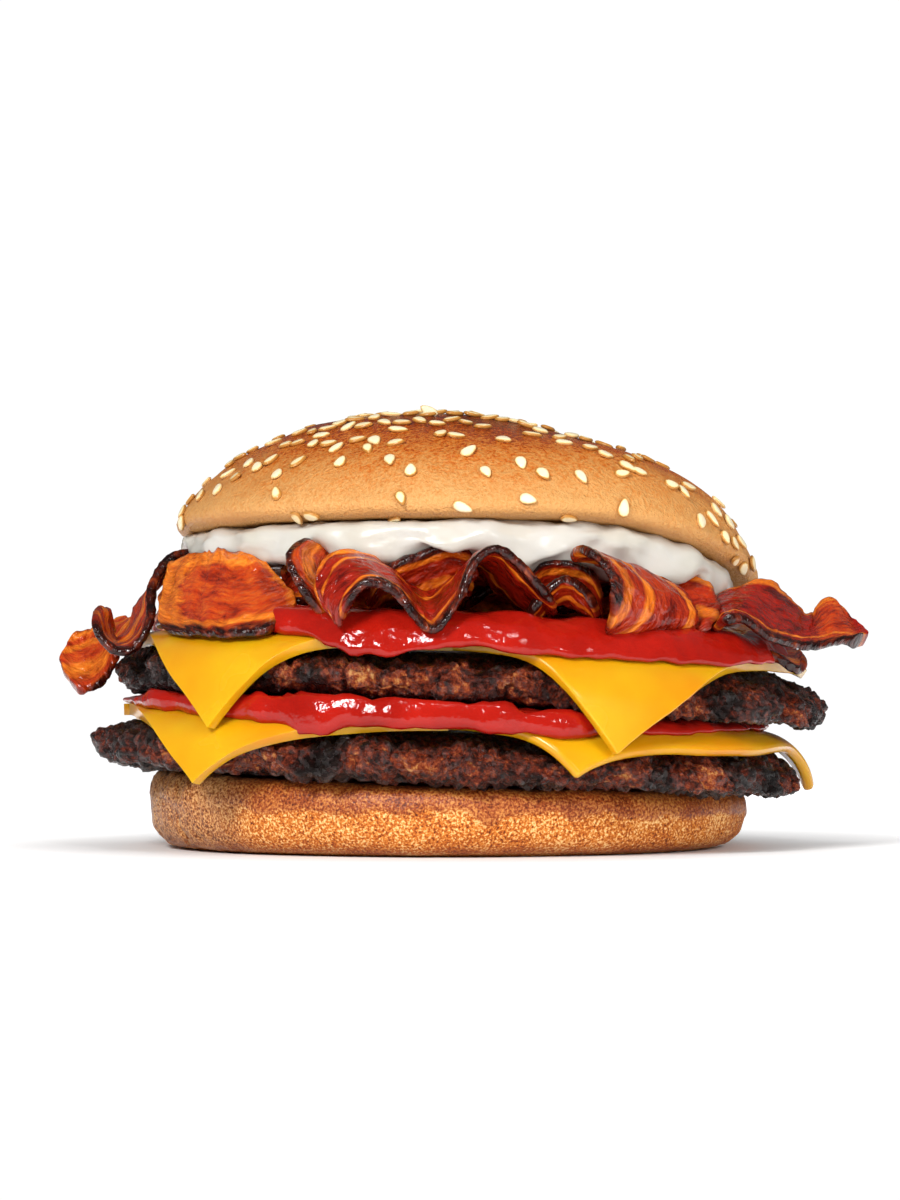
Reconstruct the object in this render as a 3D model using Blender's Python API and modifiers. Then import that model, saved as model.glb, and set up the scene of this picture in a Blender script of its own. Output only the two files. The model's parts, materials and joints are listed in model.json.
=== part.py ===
"""Double cheeseburger with bacon, ketchup and mayonnaise in a sesame bun, as separate closed solids.

Metres, +Z up. The origin is the middle of the flat face that the bottom bun rests on. The front is -Y.
Every layer lies round the Z axis. Lists of twelve values run round that axis in steps of 30 degrees,
from +X (the right) over +Y (the back) and -X (the left) to -Y (the front).
"""

from math import atan2, cos, floor, hypot, pi, radians, sin

import bmesh
import bpy
from mathutils import Matrix, Vector, noise

MM = 0.001

# Gaps between neighbouring solids
REST_GAP = 0.35 * MM
DRAPE_GAP = 0.5 * MM
SAUCE_GAP = 0.75 * MM
PATTY_SPACING = DRAPE_GAP + SAUCE_GAP + REST_GAP

# Layer thicknesses, from the bottom up, and how far the whole pile leans down to the right
HEEL_HEIGHT = 13.0 * MM
PATTY_THICKNESS = 9.6 * MM
CHEESE_THICKNESS = 2.2 * MM
KETCHUP_FILM = 1.25 * MM
PILE_SLOPE = -0.035

# Bottom bun
HEEL_RADIUS = 57.1 * MM
HEEL_WAVES = ((3, 0.6, 0.6 * MM), (5, 2.0, 0.36 * MM))
HEEL_PROFILE = (
    (0.0, 1.0), (0.91, 1.0), (0.965, 0.95), (0.992, 0.80), (1.0, 0.56), (0.982, 0.28),
    (0.93, 0.08), (0.84, 0.0), (0.0, 0.0),
)

# Patties: rim radius and how far the rim hangs, round the axis
PATTY_RINGS = (0.0, 0.72, 0.83, 0.91, 0.965, 1.0)
PATTY_EDGE_START = 0.72
PATTY_EDGE_FULLNESS = 2.4
CRAG_DEPTH = 3.0 * MM
CRAG_SIZE = 8.0 * MM
CRAG_ONSET = (0.78, 0.97)
CRAG_THINNING = 0.3
LOWER_PATTY = {
    "base": HEEL_HEIGHT + REST_GAP,
    "radius": (68.8, 68.0, 66.0, 65.0, 66.0, 67.5, 68.4, 67.8, 66.4, 65.5, 66.5, 68.5),
    "droop": (4.0, 3.0, 2.0, 1.5, 1.0, 0.8, 0.8, 0.5, 0.8, 1.2, 2.2, 3.4),
}
UPPER_PATTY = {
    "base": LOWER_PATTY["base"] + PATTY_THICKNESS + CHEESE_THICKNESS + KETCHUP_FILM + PATTY_SPACING,
    "radius": (73.5, 71.0, 67.0, 64.5, 64.0, 63.5, 63.5, 64.5, 65.0, 64.5, 66.0, 71.0),
    "droop": (5.5, 4.5, 3.0, 2.0, 2.0, 2.5, 3.0, 1.0, 0.2, 0.4, 3.0, 5.0),
}

# Cheese slices: where the flat corner would lie, the heading of the edge that leaves it, and a melted drip
SLICE_SIDE = 84.4 * MM
CORNER_LINES = (0.0, 0.035, 0.075, 0.12, 0.17, 0.23, 0.31, 0.45, 0.62, 0.81, 1.0)
SPAN_LINES = (0.0, 0.04, 0.08, 0.125, 0.18, 0.26, 0.40, 0.55, 0.70, 0.80, 0.865, 0.915, 0.96, 1.0)
BACK_LINES = (0.0, 0.06, 0.12, 0.19, 0.28, 0.45, 0.70, 1.0)
BEND_START = 0.90
BEND_RADIUS = 7.5 * MM
BEND_LIMIT = radians(80)
DRIP_START = 0.80
CHEESE_SLICES = {
    "cheese_lower_right": {
        "patty": LOWER_PATTY, "lines": (SPAN_LINES, CORNER_LINES),
        "corner": (24.6, -65.6), "heading": 58.0, "drip": 3.5,
    },
    "cheese_lower_left": {
        "patty": LOWER_PATTY, "lines": (CORNER_LINES, CORNER_LINES),
        "corner": (-49.9, -56.6), "heading": 7.3, "drip": 0.0,
    },
    "cheese_lower_back": {
        "patty": LOWER_PATTY, "lines": (BACK_LINES, BACK_LINES),
        "corner": (-19.7, 73.4), "heading": 240.0, "drip": 0.0,
    },
    "cheese_upper_right": {
        "patty": UPPER_PATTY, "lines": (SPAN_LINES, CORNER_LINES),
        "corner": (35.4, -70.6), "heading": 62.0, "drip": 0.0,
    },
    "cheese_upper_left": {
        "patty": UPPER_PATTY, "lines": (CORNER_LINES, CORNER_LINES),
        "corner": (-49.3, -60.9), "heading": 9.0, "drip": 0.0,
    },
    "cheese_upper_back": {
        "patty": UPPER_PATTY, "lines": (BACK_LINES, BACK_LINES),
        "corner": (19.4, 72.4), "heading": 210.0, "drip": 0.0,
    },
}

# Ketchup: a film with a swollen edge. Swell is how far the edge rises above the film, round the axis
SWELL_END = 0.90
KETCHUP_PROFILE = (
    (0.0, 1.0), (0.62, 1.0), (0.78, 1.0), (0.90, 1.0), (0.97, 0.90), (1.0, 0.45),
    (0.98, 0.06), (0.90, 0.0), (0.62, 0.0), (0.0, 0.0),
)
LOWER_KETCHUP = {
    "radius": (62.0, 61.0, 61.0, 61.0, 61.0, 62.0, 64.0, 65.5, 66.0, 66.2, 65.0, 63.0),
    "swell": (0.4, 0.0, 0.0, 0.0, 0.0, 0.2, 1.2, 2.6, 3.6, 3.4, 1.8, 0.8),
    "swell_start": 0.80,
}
UPPER_KETCHUP = {
    "radius": (66.0, 60.0, 58.0, 57.0, 57.0, 56.0, 56.0, 58.5, 61.5, 63.0, 64.5, 68.0),
    "swell": (2.0, 1.2, 1.2, 1.2, 1.2, 1.2, 1.5, 2.0, 3.0, 3.4, 3.2, 3.0),
    "swell_start": 0.62,
}

# Bacon strips: stations along the strip, each the rind edge and the fat edge as x, y, z in millimetres
BACON_THICKNESS = 2.0 * MM
BACON_CELLS_ACROSS = 3
BACON_CELLS_PER_STATION = 2
BACON_STRIPS = {
    "bacon_front_wave": (
        ((-18.0, -65.0, 40.6), (-20.2, -61.5, 42.4)),
        ((-17.0, -66.0, 47.0), (-24.2, -58.5, 49.6)),
        ((-13.5, -66.5, 50.2), (-20.6, -54.0, 56.2)),
        ((-8.6, -66.5, 48.2), (-12.0, -50.0, 55.0)),
        ((-2.6, -66.5, 41.6), (-4.6, -46.0, 49.6)),
        ((2.2, -66.0, 47.0), (0.8, -44.0, 52.0)),
        ((5.5, -64.5, 54.4), (3.4, -42.0, 53.6)),
        ((9.4, -63.0, 56.8), (6.0, -42.0, 52.6)),
        ((13.8, -62.5, 54.0), (9.0, -42.0, 49.2)),
        ((18.6, -60.5, 48.6), (13.6, -42.0, 45.6)),
        ((23.0, -58.5, 45.0), (18.6, -43.0, 43.6)),
    ),
    "bacon_front_tongue": (
        ((-22.6, -58.5, 43.0), (-17.0, -50.0, 43.4)),
        ((-26.0, -58.0, 48.4), (-18.6, -48.0, 48.2)),
        ((-28.6, -56.5, 53.2), (-19.4, -45.0, 52.8)),
        ((-28.8, -53.5, 56.8), (-19.2, -42.0, 54.6)),
        ((-26.6, -48.5, 58.4), (-17.8, -38.0, 54.8)),
        ((-24.8, -42.0, 56.8), (-16.4, -33.0, 53.2)),
        ((-24.0, -37.0, 52.4), (-15.8, -29.0, 50.0)),
    ),
    "bacon_front_arch": (
        ((15.6, -57.0, 56.0), (33.0, -38.0, 51.6)),
        ((20.6, -59.5, 57.4), (38.6, -38.5, 51.6)),
        ((25.8, -60.0, 56.2), (43.4, -39.0, 49.4)),
        ((29.6, -60.5, 52.4), (46.4, -39.5, 46.0)),
        ((30.0, -61.0, 48.0), (46.6, -40.0, 42.4)),
        ((27.2, -61.5, 43.6), (42.4, -42.0, 40.6)),
        ((22.6, -61.0, 41.8), (37.0, -43.0, 40.6)),
    ),
    "bacon_left_slice": (
        ((-53.2, -29.0, 44.0), (-53.8, -25.0, 47.6)),
        ((-52.6, -34.0, 41.4), (-52.6, -17.0, 53.6)),
        ((-46.6, -45.0, 40.8), (-45.6, -24.0, 56.6)),
        ((-38.4, -53.0, 40.6), (-39.4, -31.0, 57.0)),
        ((-31.4, -54.6, 41.6), (-34.0, -36.0, 55.6)),
        ((-25.6, -51.5, 44.4), (-28.4, -40.0, 51.6)),
    ),
    "bacon_left_curl": (
        ((-67.4, -24.0, 47.6), (-63.4, -9.0, 46.8)),
        ((-65.8, -26.0, 41.8), (-63.4, -9.0, 42.6)),
        ((-62.4, -27.0, 37.9), (-62.6, -9.0, 39.8)),
        ((-58.4, -27.0, 38.2), (-60.6, -8.0, 42.4)),
        ((-55.4, -24.5, 43.6), (-58.6, -6.0, 47.0)),
        ((-55.8, -19.5, 49.6), (-55.0, -3.0, 51.0)),
        ((-51.6, -14.0, 56.0), (-49.0, 2.0, 53.4)),
        ((-44.0, -12.0, 55.0), (-42.0, 6.0, 51.0)),
        ((-35.0, -12.0, 48.6), (-34.0, 8.0, 46.6)),
        ((-24.0, -12.0, 45.6), (-23.0, 9.0, 45.2)),
        ((-12.0, -11.0, 48.6), (-11.0, 10.0, 47.4)),
        ((0.0, -11.0, 46.6), (1.0, 10.0, 45.6)),
    ),
    "bacon_left_flap": (
        ((-59.0, -2.0, 44.6), (-59.0, 11.0, 44.6)),
        ((-63.4, -5.0, 40.4), (-64.0, 9.0, 42.4)),
        ((-66.4, -9.0, 34.4), (-67.6, 5.0, 39.0)),
        ((-70.4, -10.5, 31.4), (-71.2, 2.0, 38.6)),
        ((-74.4, -8.0, 33.0), (-74.8, 0.0, 37.4)),
    ),
    "bacon_right_curl": (
        ((50.6, -42.0, 40.2), (47.6, -31.0, 42.0)),
        ((52.4, -41.0, 44.6), (50.2, -26.0, 47.0)),
        ((55.4, -39.5, 46.4), (55.6, -22.0, 49.4)),
        ((59.6, -37.0, 42.6), (61.4, -18.0, 50.0)),
        ((64.6, -32.0, 38.8), (66.4, -14.0, 46.2)),
        ((69.6, -27.0, 38.4), (69.8, -9.0, 44.6)),
        ((74.0, -22.0, 39.2), (73.4, -7.0, 47.6)),
        ((77.8, -18.0, 39.4), (77.0, -8.0, 43.6)),
        ((80.6, -15.0, 39.4), (80.6, -11.0, 40.8)),
    ),
    "bacon_right_flap": (
        ((10.0, -24.0, 45.8), (10.0, -4.0, 45.8)),
        ((20.0, -24.0, 49.0), (20.0, -4.0, 48.4)),
        ((30.0, -24.0, 44.6), (30.0, -4.0, 44.6)),
        ((38.0, -24.0, 43.4), (38.0, -5.0, 43.4)),
        ((46.0, -25.0, 42.8), (46.0, -6.0, 42.8)),
        ((54.0, -27.0, 40.6), (54.0, -8.0, 40.8)),
        ((62.0, -28.0, 36.6), (62.0, -8.0, 38.6)),
        ((66.4, -24.0, 34.0), (66.6, -8.0, 38.0)),
        ((68.4, -20.0, 35.8), (68.6, -11.0, 37.8)),
    ),
    "bacon_back_left": (
        ((-61.0, 24.0, 46.0), (-46.0, 16.0, 47.0)),
        ((-57.0, 34.0, 41.0), (-42.0, 24.0, 45.0)),
        ((-51.0, 41.0, 46.6), (-38.0, 29.0, 47.0)),
        ((-45.0, 47.0, 47.4), (-33.0, 33.0, 46.8)),
        ((-37.0, 53.0, 41.6), (-26.0, 38.0, 44.8)),
        ((-28.0, 59.0, 46.6), (-19.0, 41.0, 45.6)),
        ((-19.0, 61.0, 47.6), (-12.0, 43.0, 45.4)),
        ((-10.0, 62.0, 42.0), (-5.0, 43.0, 43.9)),
    ),
    "bacon_back_right": (
        ((1.0, 61.0, 42.6), (2.0, 44.0, 43.6)),
        ((10.0, 62.0, 47.4), (9.0, 44.0, 44.6)),
        ((19.0, 60.0, 46.4), (15.0, 42.0, 43.8)),
        ((28.0, 56.0, 40.6), (21.0, 39.0, 42.8)),
        ((37.0, 52.0, 44.2), (28.0, 36.0, 43.4)),
        ((45.0, 46.0, 43.4), (34.0, 31.0, 43.0)),
        ((53.0, 38.0, 38.4), (40.0, 26.0, 42.2)),
        ((60.0, 29.0, 43.6), (46.0, 20.0, 42.4)),
        ((64.0, 19.0, 41.0), (50.0, 12.0, 41.6)),
    ),
}

# Top bun: a dome on a tilted cut face
CROWN_RADIUS = 56.5 * MM
CROWN_HEIGHT = 27.2 * MM
CROWN_CENTRE = Vector((4.0 * MM, 0.0, 54.6 * MM))
CROWN_LEAN_RIGHT = radians(6.7)
CROWN_LEAN_BACK = radians(6.9)
CROWN_FRAME = (
    Matrix.Translation(CROWN_CENTRE)
    @ Matrix.Rotation(-CROWN_LEAN_BACK, 4, "X")
    @ Matrix.Rotation(CROWN_LEAN_RIGHT, 4, "Y")
)
CROWN_FALL = 2.0
CROWN_FULLNESS = 0.55
CROWN_STEPS = 7
CROWN_SWING = radians(80)
CROWN_LIP = ((1.0, 0.075), (0.992, 0.022), (0.965, 0.0), (0.0, 0.0))
UNEVEN_ONSET = (0.5, 0.95)
CROWN_UNEVENNESS = (0.2, 0.1, -0.1, 0.2, 0.0, -0.1, -0.8, -2.0, -2.0, 0.2, 2.4, 1.7)

# Mayonnaise under the top bun
MAYO_FILM = 1.8 * MM
MAYO_SWELL = (0.70, 0.93)
MAYO_RADIUS = (52.5, 50.0, 48.5, 48.0, 48.5, 50.0, 53.2, 52.5, 51.0, 50.0, 51.5, 53.0)
MAYO_DEPTH = (4.5, 3.0, 2.4, 2.4, 2.4, 3.4, 5.0, 6.0, 6.5, 5.0, 4.0, 6.0)
MAYO_PROFILE = (
    (0.0, 1.0), (0.94, 1.0), (0.99, 0.80), (1.0, 0.45), (0.98, 0.10), (0.92, 0.0),
    (0.78, 0.0), (0.0, 0.0),
)

# Sesame seeds: they crowd towards the top, and a share of those near the lip is left out
SEED_COUNT = 82
SEED_SIZE = (3.9 * MM, 2.5 * MM, 1.7 * MM)
SEED_REACH = 0.985
SEED_SPACING = 4.3 * MM
SEED_LIFT = 0.25 * MM
SEED_TAPER = 0.5
SEED_CROWDING = 0.58
SEED_THINNING = 0.55
SEED_THIN_FROM = 0.70

# Sides of each turned piece
SIDES = {"heel": 40, "patty": 52, "ketchup": 34, "mayonnaise": 34, "crown": 44}


def clear_scene():
    for obj in list(bpy.data.objects):
        bpy.data.objects.remove(obj, do_unlink=True)


def collection(name):
    made = bpy.data.collections.new(name)
    bpy.context.scene.collection.children.link(made)
    return made


def material(name, colour, roughness):
    made = bpy.data.materials.new(name)
    made.use_nodes = True
    shader = made.node_tree.nodes["Principled BSDF"]
    shader.inputs["Base Color"].default_value = (*colour, 1.0)
    shader.inputs["Roughness"].default_value = roughness
    return made


def around(values, angle):
    """The value at an angle, on a smooth closed curve through values that are equally spaced round the axis."""
    count = len(values)
    place = (angle % (2 * pi)) / (2 * pi) * count
    i = floor(place)
    t = place - i
    a, b, c, d = (values[(i + k) % count] for k in (-1, 0, 1, 2))
    return b + 0.5 * t * (c - a + t * (2 * a - 5 * b + 4 * c - d + t * (3 * (b - c) + d - a)))


def along(points, place):
    """The point at a place from 0 to 1 on a smooth curve through points that are equally spaced in place."""
    last = len(points) - 1
    place = place * last
    i = min(max(floor(place), 0), last - 1)
    t = place - i
    b, c = points[i], points[i + 1]
    a = points[i - 1] if i > 0 else 2 * b - c
    d = points[i + 2] if i + 2 <= last else 2 * c - b
    return b + 0.5 * t * (c - a + t * (2 * a - 5 * b + 4 * c - d + t * (3 * (b - c) + d - a)))


def ramp(value, start, end):
    """0 up to start, 1 from end, and smooth in between."""
    t = min(max((value - start) / (end - start), 0.0), 1.0)
    return t * t * (3 - 2 * t)


def evaluated_mesh(obj):
    bpy.context.view_layer.update()
    graph = bpy.context.evaluated_depsgraph_get()
    return bpy.data.meshes.new_from_object(obj.evaluated_get(graph))


def apply_modifiers(obj):
    mesh = evaluated_mesh(obj)
    obj.modifiers.clear()
    obj.data = mesh
    return obj


def turned(name, profile, sides, home):
    """A profile of radius and height, from the top centre round to the bottom centre, turned about +Z."""
    mesh = bpy.data.meshes.new(name)
    points = [(radius, 0.0, height) for radius, height in profile]
    mesh.from_pydata(points, [(i, i + 1) for i in range(len(points) - 1)], [])
    obj = bpy.data.objects.new(name, mesh)
    home.objects.link(obj)
    screw = obj.modifiers.new("turn", "SCREW")
    screw.steps = screw.render_steps = sides
    screw.use_merge_vertices = True
    screw.merge_threshold = 0.0001
    return apply_modifiers(obj)


def shaped(obj, place):
    """Moves each vertex of a turned unit shape to place(radius share, height share, angle)."""
    for vertex in obj.data.vertices:
        x, y, height = vertex.co
        vertex.co = place(hypot(x, y), height, atan2(y, x))
    return obj


def finished(obj, finish):
    obj.data.materials.clear()
    obj.data.materials.append(finish)
    obj.data.shade_smooth()
    obj.data.set_sharp_from_angle(angle=radians(50))
    return obj


def grid(name, across, along_cells, home, place):
    """A flat grid whose vertices are moved to place(u, v), with u and v from 0 to 1."""
    mesh = bpy.data.meshes.new(name)
    bm = bmesh.new()
    bmesh.ops.create_grid(bm, x_segments=across, y_segments=along_cells, size=0.5)
    for vertex in bm.verts:
        vertex.co = place(vertex.co.x + 0.5, vertex.co.y + 0.5)
    bm.to_mesh(mesh)
    bm.free()
    obj = bpy.data.objects.new(name, mesh)
    home.objects.link(obj)
    return obj


def thicken(obj, thickness, offset):
    solidify = obj.modifiers.new("thickness", "SOLIDIFY")
    solidify.thickness = thickness
    solidify.offset = offset
    solidify.use_even_offset = False
    return obj


def cut_by(obj, cutter):
    """Takes the cutter's shape out of the object, and drops the loose scraps that the cut leaves."""
    cut = obj.modifiers.new("clearance", "BOOLEAN")
    cut.operation = "DIFFERENCE"
    cut.object = cutter
    apply_modifiers(obj)
    keep_largest_piece(obj)


def as_cutter(obj):
    obj.hide_render = True
    obj.display_type = "WIRE"
    return obj


def keep_largest_piece(obj):
    bm = bmesh.new()
    bm.from_mesh(obj.data)
    left = set(bm.verts)
    pieces = []
    while left:
        found, edge = set(), [left.pop()]
        while edge:
            vertex = edge.pop()
            found.add(vertex)
            near = {e.other_vert(vertex) for e in vertex.link_edges} & left
            left -= near
            edge.extend(near)
        pieces.append(found)
    pieces.sort(key=len)
    for scrap in pieces[:-1]:
        bmesh.ops.delete(bm, geom=list(scrap), context="VERTS")
    bm.to_mesh(obj.data)
    bm.free()


def patty_edge(share):
    """How much of a patty's half thickness is left at a share of its radius."""
    out = min(max((share - PATTY_EDGE_START) / (1 - PATTY_EDGE_START), 0.0), 1.0)
    return (1 - out**PATTY_EDGE_FULLNESS) ** (1 / PATTY_EDGE_FULLNESS)


def patty_level(patty, x, share, angle):
    """Height of the patty's underside, before its edge is rounded. The rim hangs below the middle."""
    out = min(max((share - PATTY_EDGE_START) / (1 - PATTY_EDGE_START), 0.0), 1.0)
    return patty["base"] + PILE_SLOPE * x - around(patty["droop"], angle) * MM * out**2


def patty_underside(patty, x, reach, angle):
    """Height of the patty's underside with its rounded edge."""
    share = reach / (around(patty["radius"], angle) * MM)
    return patty_level(patty, x, share, angle) + PATTY_THICKNESS / 2 * (1 - patty_edge(share))


def cheese_top(patty, x, reach, angle):
    """Height of the top of the cheese that lies on the patty and bends down over its edge."""
    rim = around(patty["radius"], angle) * MM
    radius = BEND_RADIUS + CHEESE_THICKNESS
    over = min(max(reach - BEND_START * rim, 0.0), radius)
    fall = radius - (radius**2 - over**2) ** 0.5
    return patty_level(patty, x, reach / rim, angle) + PATTY_THICKNESS + DRAPE_GAP + CHEESE_THICKNESS - fall


def heel(home):
    def place(share, height, angle):
        wave = sum(size * sin(count * angle + start) for count, start, size in HEEL_WAVES)
        reach = share * (HEEL_RADIUS + wave * height * share)
        x = reach * cos(angle)
        return x, reach * sin(angle), height * (HEEL_HEIGHT + PILE_SLOPE * x)

    return shaped(turned("bun_heel", HEEL_PROFILE, SIDES["heel"], home), place)


def patty(name, size, seed, home):
    """A grilled patty whose rim is broken by crags that only cut inwards."""
    upper = [(share, patty_edge(share)) for share in PATTY_RINGS]
    profile = upper + [(share, -height) for share, height in reversed(upper[:-1])]

    def place(share, height, angle):
        radius = around(size["radius"], angle) * MM
        rim = Vector((cos(angle), sin(angle), 0.0)) * (radius / CRAG_SIZE)
        rough = 0.5 + noise.noise(rim + Vector((seed, 0.0, height)))
        crag = CRAG_DEPTH * ramp(share, *CRAG_ONSET) * min(max(rough, 0.0), 1.0)
        reach = share * radius - crag
        x = reach * cos(angle)
        middle = patty_level(size, x, share, angle) + PATTY_THICKNESS / 2
        return x, reach * sin(angle), middle + (PATTY_THICKNESS / 2 - CRAG_THINNING * crag) * height

    return shaped(turned(name, profile, SIDES["patty"], home), place)


def on_slice(cheese, u, v, side):
    """Where a point of the flat slice lies once the slice has sunk over the patty's edge."""
    size = cheese["patty"]
    heading = radians(cheese["heading"])
    drip = cheese["drip"] * MM * (ramp(u, DRIP_START, 1.0) * ramp(1 - v, DRIP_START, 1.0)) ** 2
    first, second = u * side, v * side
    x = cheese["corner"][0] * MM + first * cos(heading) - second * sin(heading)
    y = cheese["corner"][1] * MM + first * sin(heading) + second * cos(heading)
    flat, angle = hypot(x, y), atan2(y, x)
    rim = around(size["radius"], angle) * MM
    over = flat + drip - BEND_START * rim
    reach, fall = flat, 0.0
    if over > 0:
        bend = min(over / BEND_RADIUS, BEND_LIMIT)
        straight = over - bend * BEND_RADIUS
        reach = BEND_START * rim + BEND_RADIUS * sin(bend) + straight * cos(bend)
        fall = BEND_RADIUS * (1 - cos(bend)) + straight * sin(bend)
    x, y = reach * cos(angle), reach * sin(angle)
    top = patty_level(size, x, reach / rim, angle) + PATTY_THICKNESS + DRAPE_GAP
    return x, y, top - fall


def grid_on_lines(name, lines_u, lines_v, home, place):
    """A grid whose lines lie at the given shares of its sides, each vertex moved to place(u, v)."""

    def on_lines(u, v):
        return place(lines_u[round(u * (len(lines_u) - 1))], lines_v[round(v * (len(lines_v) - 1))])

    return grid(name, len(lines_u) - 1, len(lines_v) - 1, home, on_lines)


def cheese_grid(name, cheese, margin, home):
    """The underside of a draped slice, with its cells closest together where it bends."""

    def place(u, v):
        u, v = (k * (1 + 2 * margin / SLICE_SIDE) - margin / SLICE_SIDE for k in (u, v))
        return on_slice(cheese, u, v, SLICE_SIDE)

    return grid_on_lines(name, *cheese["lines"], home, place)


def cheese_slices(home, cutters):
    """Three slices on each patty. Where two would overlap, the one that comes later is cut round the other."""
    made, laid = {}, []
    for name, cheese in CHEESE_SLICES.items():
        obj = apply_modifiers(thicken(cheese_grid(name, cheese, 0.0, home), CHEESE_THICKNESS, 1.0))
        for other, cutter in laid:
            if other["patty"] is cheese["patty"]:
                cut_by(obj, cutter)
        cutter = cheese_grid(name + "_room", cheese, REST_GAP, cutters)
        laid.append((cheese, as_cutter(thicken(cutter, 3 * CHEESE_THICKNESS, 0.0))))
        made[name] = obj
    return made


def ketchup(name, sauce, bottom, top, home):
    """Sauce between two heights, each a function of x, distance from the axis, angle and the edge's swell."""

    def place(share, height, angle):
        reach = share * around(sauce["radius"], angle) * MM
        swell = around(sauce["swell"], angle) * MM * ramp(share, sauce["swell_start"], SWELL_END)
        where = (reach * cos(angle), reach, angle)
        low, high = bottom(*where), top(*where, swell)
        return where[0], reach * sin(angle), low + (high - low) * height

    return shaped(turned(name, KETCHUP_PROFILE, SIDES["ketchup"], home), place)


def lower_ketchup(home):
    """Fills the gap over the lower cheese, and swells out of it round the upper patty's lower edge."""

    def bottom(*where):
        return cheese_top(LOWER_PATTY, *where) + SAUCE_GAP

    def top(x, reach, angle, swell):
        middle = patty_level(UPPER_PATTY, x, 0.0, angle)
        return min(middle + swell, patty_underside(UPPER_PATTY, x, reach, angle)) - REST_GAP

    return ketchup("ketchup_lower", LOWER_KETCHUP, bottom, top, home)


def upper_ketchup(home):
    """Lies on the upper cheese under the bacon."""

    def bottom(*where):
        return cheese_top(UPPER_PATTY, *where) + SAUCE_GAP

    def top(x, reach, angle, swell):
        return bottom(x, reach, angle) + KETCHUP_FILM + swell

    return ketchup("ketchup_upper", UPPER_KETCHUP, bottom, top, home)


def bacon(name, stations, thickness, margin, home):
    """A strip between its rind edge and its fat edge, both smooth curves through the stations."""
    rind = [Vector(a) * MM for a, b in stations]
    fat = [Vector(b) * MM for a, b in stations]
    length = sum((b - a).length for a, b in zip(rind, rind[1:]))
    width = (fat[len(fat) // 2] - rind[len(rind) // 2]).length

    def place(u, v):
        u = u * (1 + 2 * margin / length) - margin / length
        v = v * (1 + 2 * margin / width) - margin / width
        return along(rind, u).lerp(along(fat, u), v)

    cells = BACON_CELLS_PER_STATION * (len(stations) - 1)
    return thicken(grid(name, cells, BACON_CELLS_ACROSS, home, place), thickness, 0.0)


def crown_profile():
    """A superellipse from the top of the dome to the lip, then the lip and the cut face."""
    dome = []
    for step in range(CROWN_STEPS + 1):
        share = sin(CROWN_SWING * step / CROWN_STEPS)
        dome.append((share, (1 - share**CROWN_FALL) ** CROWN_FULLNESS))
    return (*dome, *CROWN_LIP)


def crown_uneven(share, angle):
    """How far the dome and its lip stand above their even shape."""
    return around(CROWN_UNEVENNESS, angle) * MM * ramp(share, *UNEVEN_ONSET)


def crown_core(home):
    def place(share, height, angle):
        reach = share * CROWN_RADIUS
        up = height * CROWN_HEIGHT + crown_uneven(share, angle)
        return CROWN_FRAME @ Vector((reach * cos(angle), reach * sin(angle), up))

    return shaped(turned("bun_crown", crown_profile(), SIDES["crown"], home), place)


def mayonnaise(home):
    def place(share, height, angle):
        reach = share * around(MAYO_RADIUS, angle) * MM
        uneven = crown_uneven(reach / CROWN_RADIUS, angle)
        depth = MAYO_FILM + (around(MAYO_DEPTH, angle) * MM - MAYO_FILM) * ramp(share, *MAYO_SWELL)
        down = REST_GAP + depth * (1 - height)
        return CROWN_FRAME @ Vector((reach * cos(angle), reach * sin(angle), uneven - down))

    return shaped(turned("mayonnaise", MAYO_PROFILE, SIDES["mayonnaise"], home), place)


def spread(index, base):
    """The index's digits in a base, mirrored after the point, which fills 0 to 1 evenly and without chance."""
    value, share = 0.0, 1.0
    while index:
        share /= base
        value += share * (index % base)
        index //= base
    return value


def seed_places():
    """Frames on the dome for the seeds, thinning out towards the lip, each with its own heading."""
    places, index = [], 0
    while len(places) < SEED_COUNT:
        index += 1
        share = SEED_REACH * spread(index, 2) ** SEED_CROWDING
        angle = 2 * pi * spread(index, 3)
        if spread(index, 5) < SEED_THINNING * ramp(share, SEED_THIN_FROM, 1.0):
            continue
        height = CROWN_HEIGHT * (1 - share**CROWN_FALL) ** CROWN_FULLNESS + crown_uneven(share, angle)
        at = Vector((share * CROWN_RADIUS * cos(angle), share * CROWN_RADIUS * sin(angle), height))
        if any((at - other.translation).length < SEED_SPACING for other in places):
            continue
        rise = CROWN_HEIGHT * CROWN_FULLNESS * (1 - share**CROWN_FALL) ** (CROWN_FULLNESS - 1)
        slope = rise * CROWN_FALL * share ** (CROWN_FALL - 1) / CROWN_RADIUS
        normal = Vector((slope * cos(angle), slope * sin(angle), 1.0)).normalized()
        turn = normal.to_track_quat("Z", "Y").to_matrix().to_4x4()
        heading = Matrix.Rotation(2 * pi * spread(index, 7), 4, "Z")
        places.append(Matrix.Translation(at) @ turn @ heading)
    return places


def add_seeds(crown):
    """Joins the sesame seeds to the dome by one union."""
    seeds = collection("sesame_seeds")
    for index, place in enumerate(seed_places()):
        mesh = bpy.data.meshes.new("seed")
        bm = bmesh.new()
        bmesh.ops.create_uvsphere(bm, u_segments=5, v_segments=3, radius=0.5)
        for vertex in bm.verts:
            vertex.co.y *= 1 - SEED_TAPER * vertex.co.x
            vertex.co = Vector(a * b for a, b in zip(vertex.co, SEED_SIZE))
            vertex.co.z += SEED_LIFT
        bm.transform(CROWN_FRAME @ place)
        bm.to_mesh(mesh)
        bm.free()
        seeds.objects.link(bpy.data.objects.new(f"seed_{index}", mesh))
    union = crown.modifiers.new("seeds", "BOOLEAN")
    union.operation = "UNION"
    union.operand_type = "COLLECTION"
    union.collection = seeds
    apply_modifiers(crown)
    for seed in list(seeds.objects):
        bpy.data.objects.remove(seed, do_unlink=True)
    bpy.data.collections.remove(seeds)
    keep_largest_piece(crown)


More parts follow.
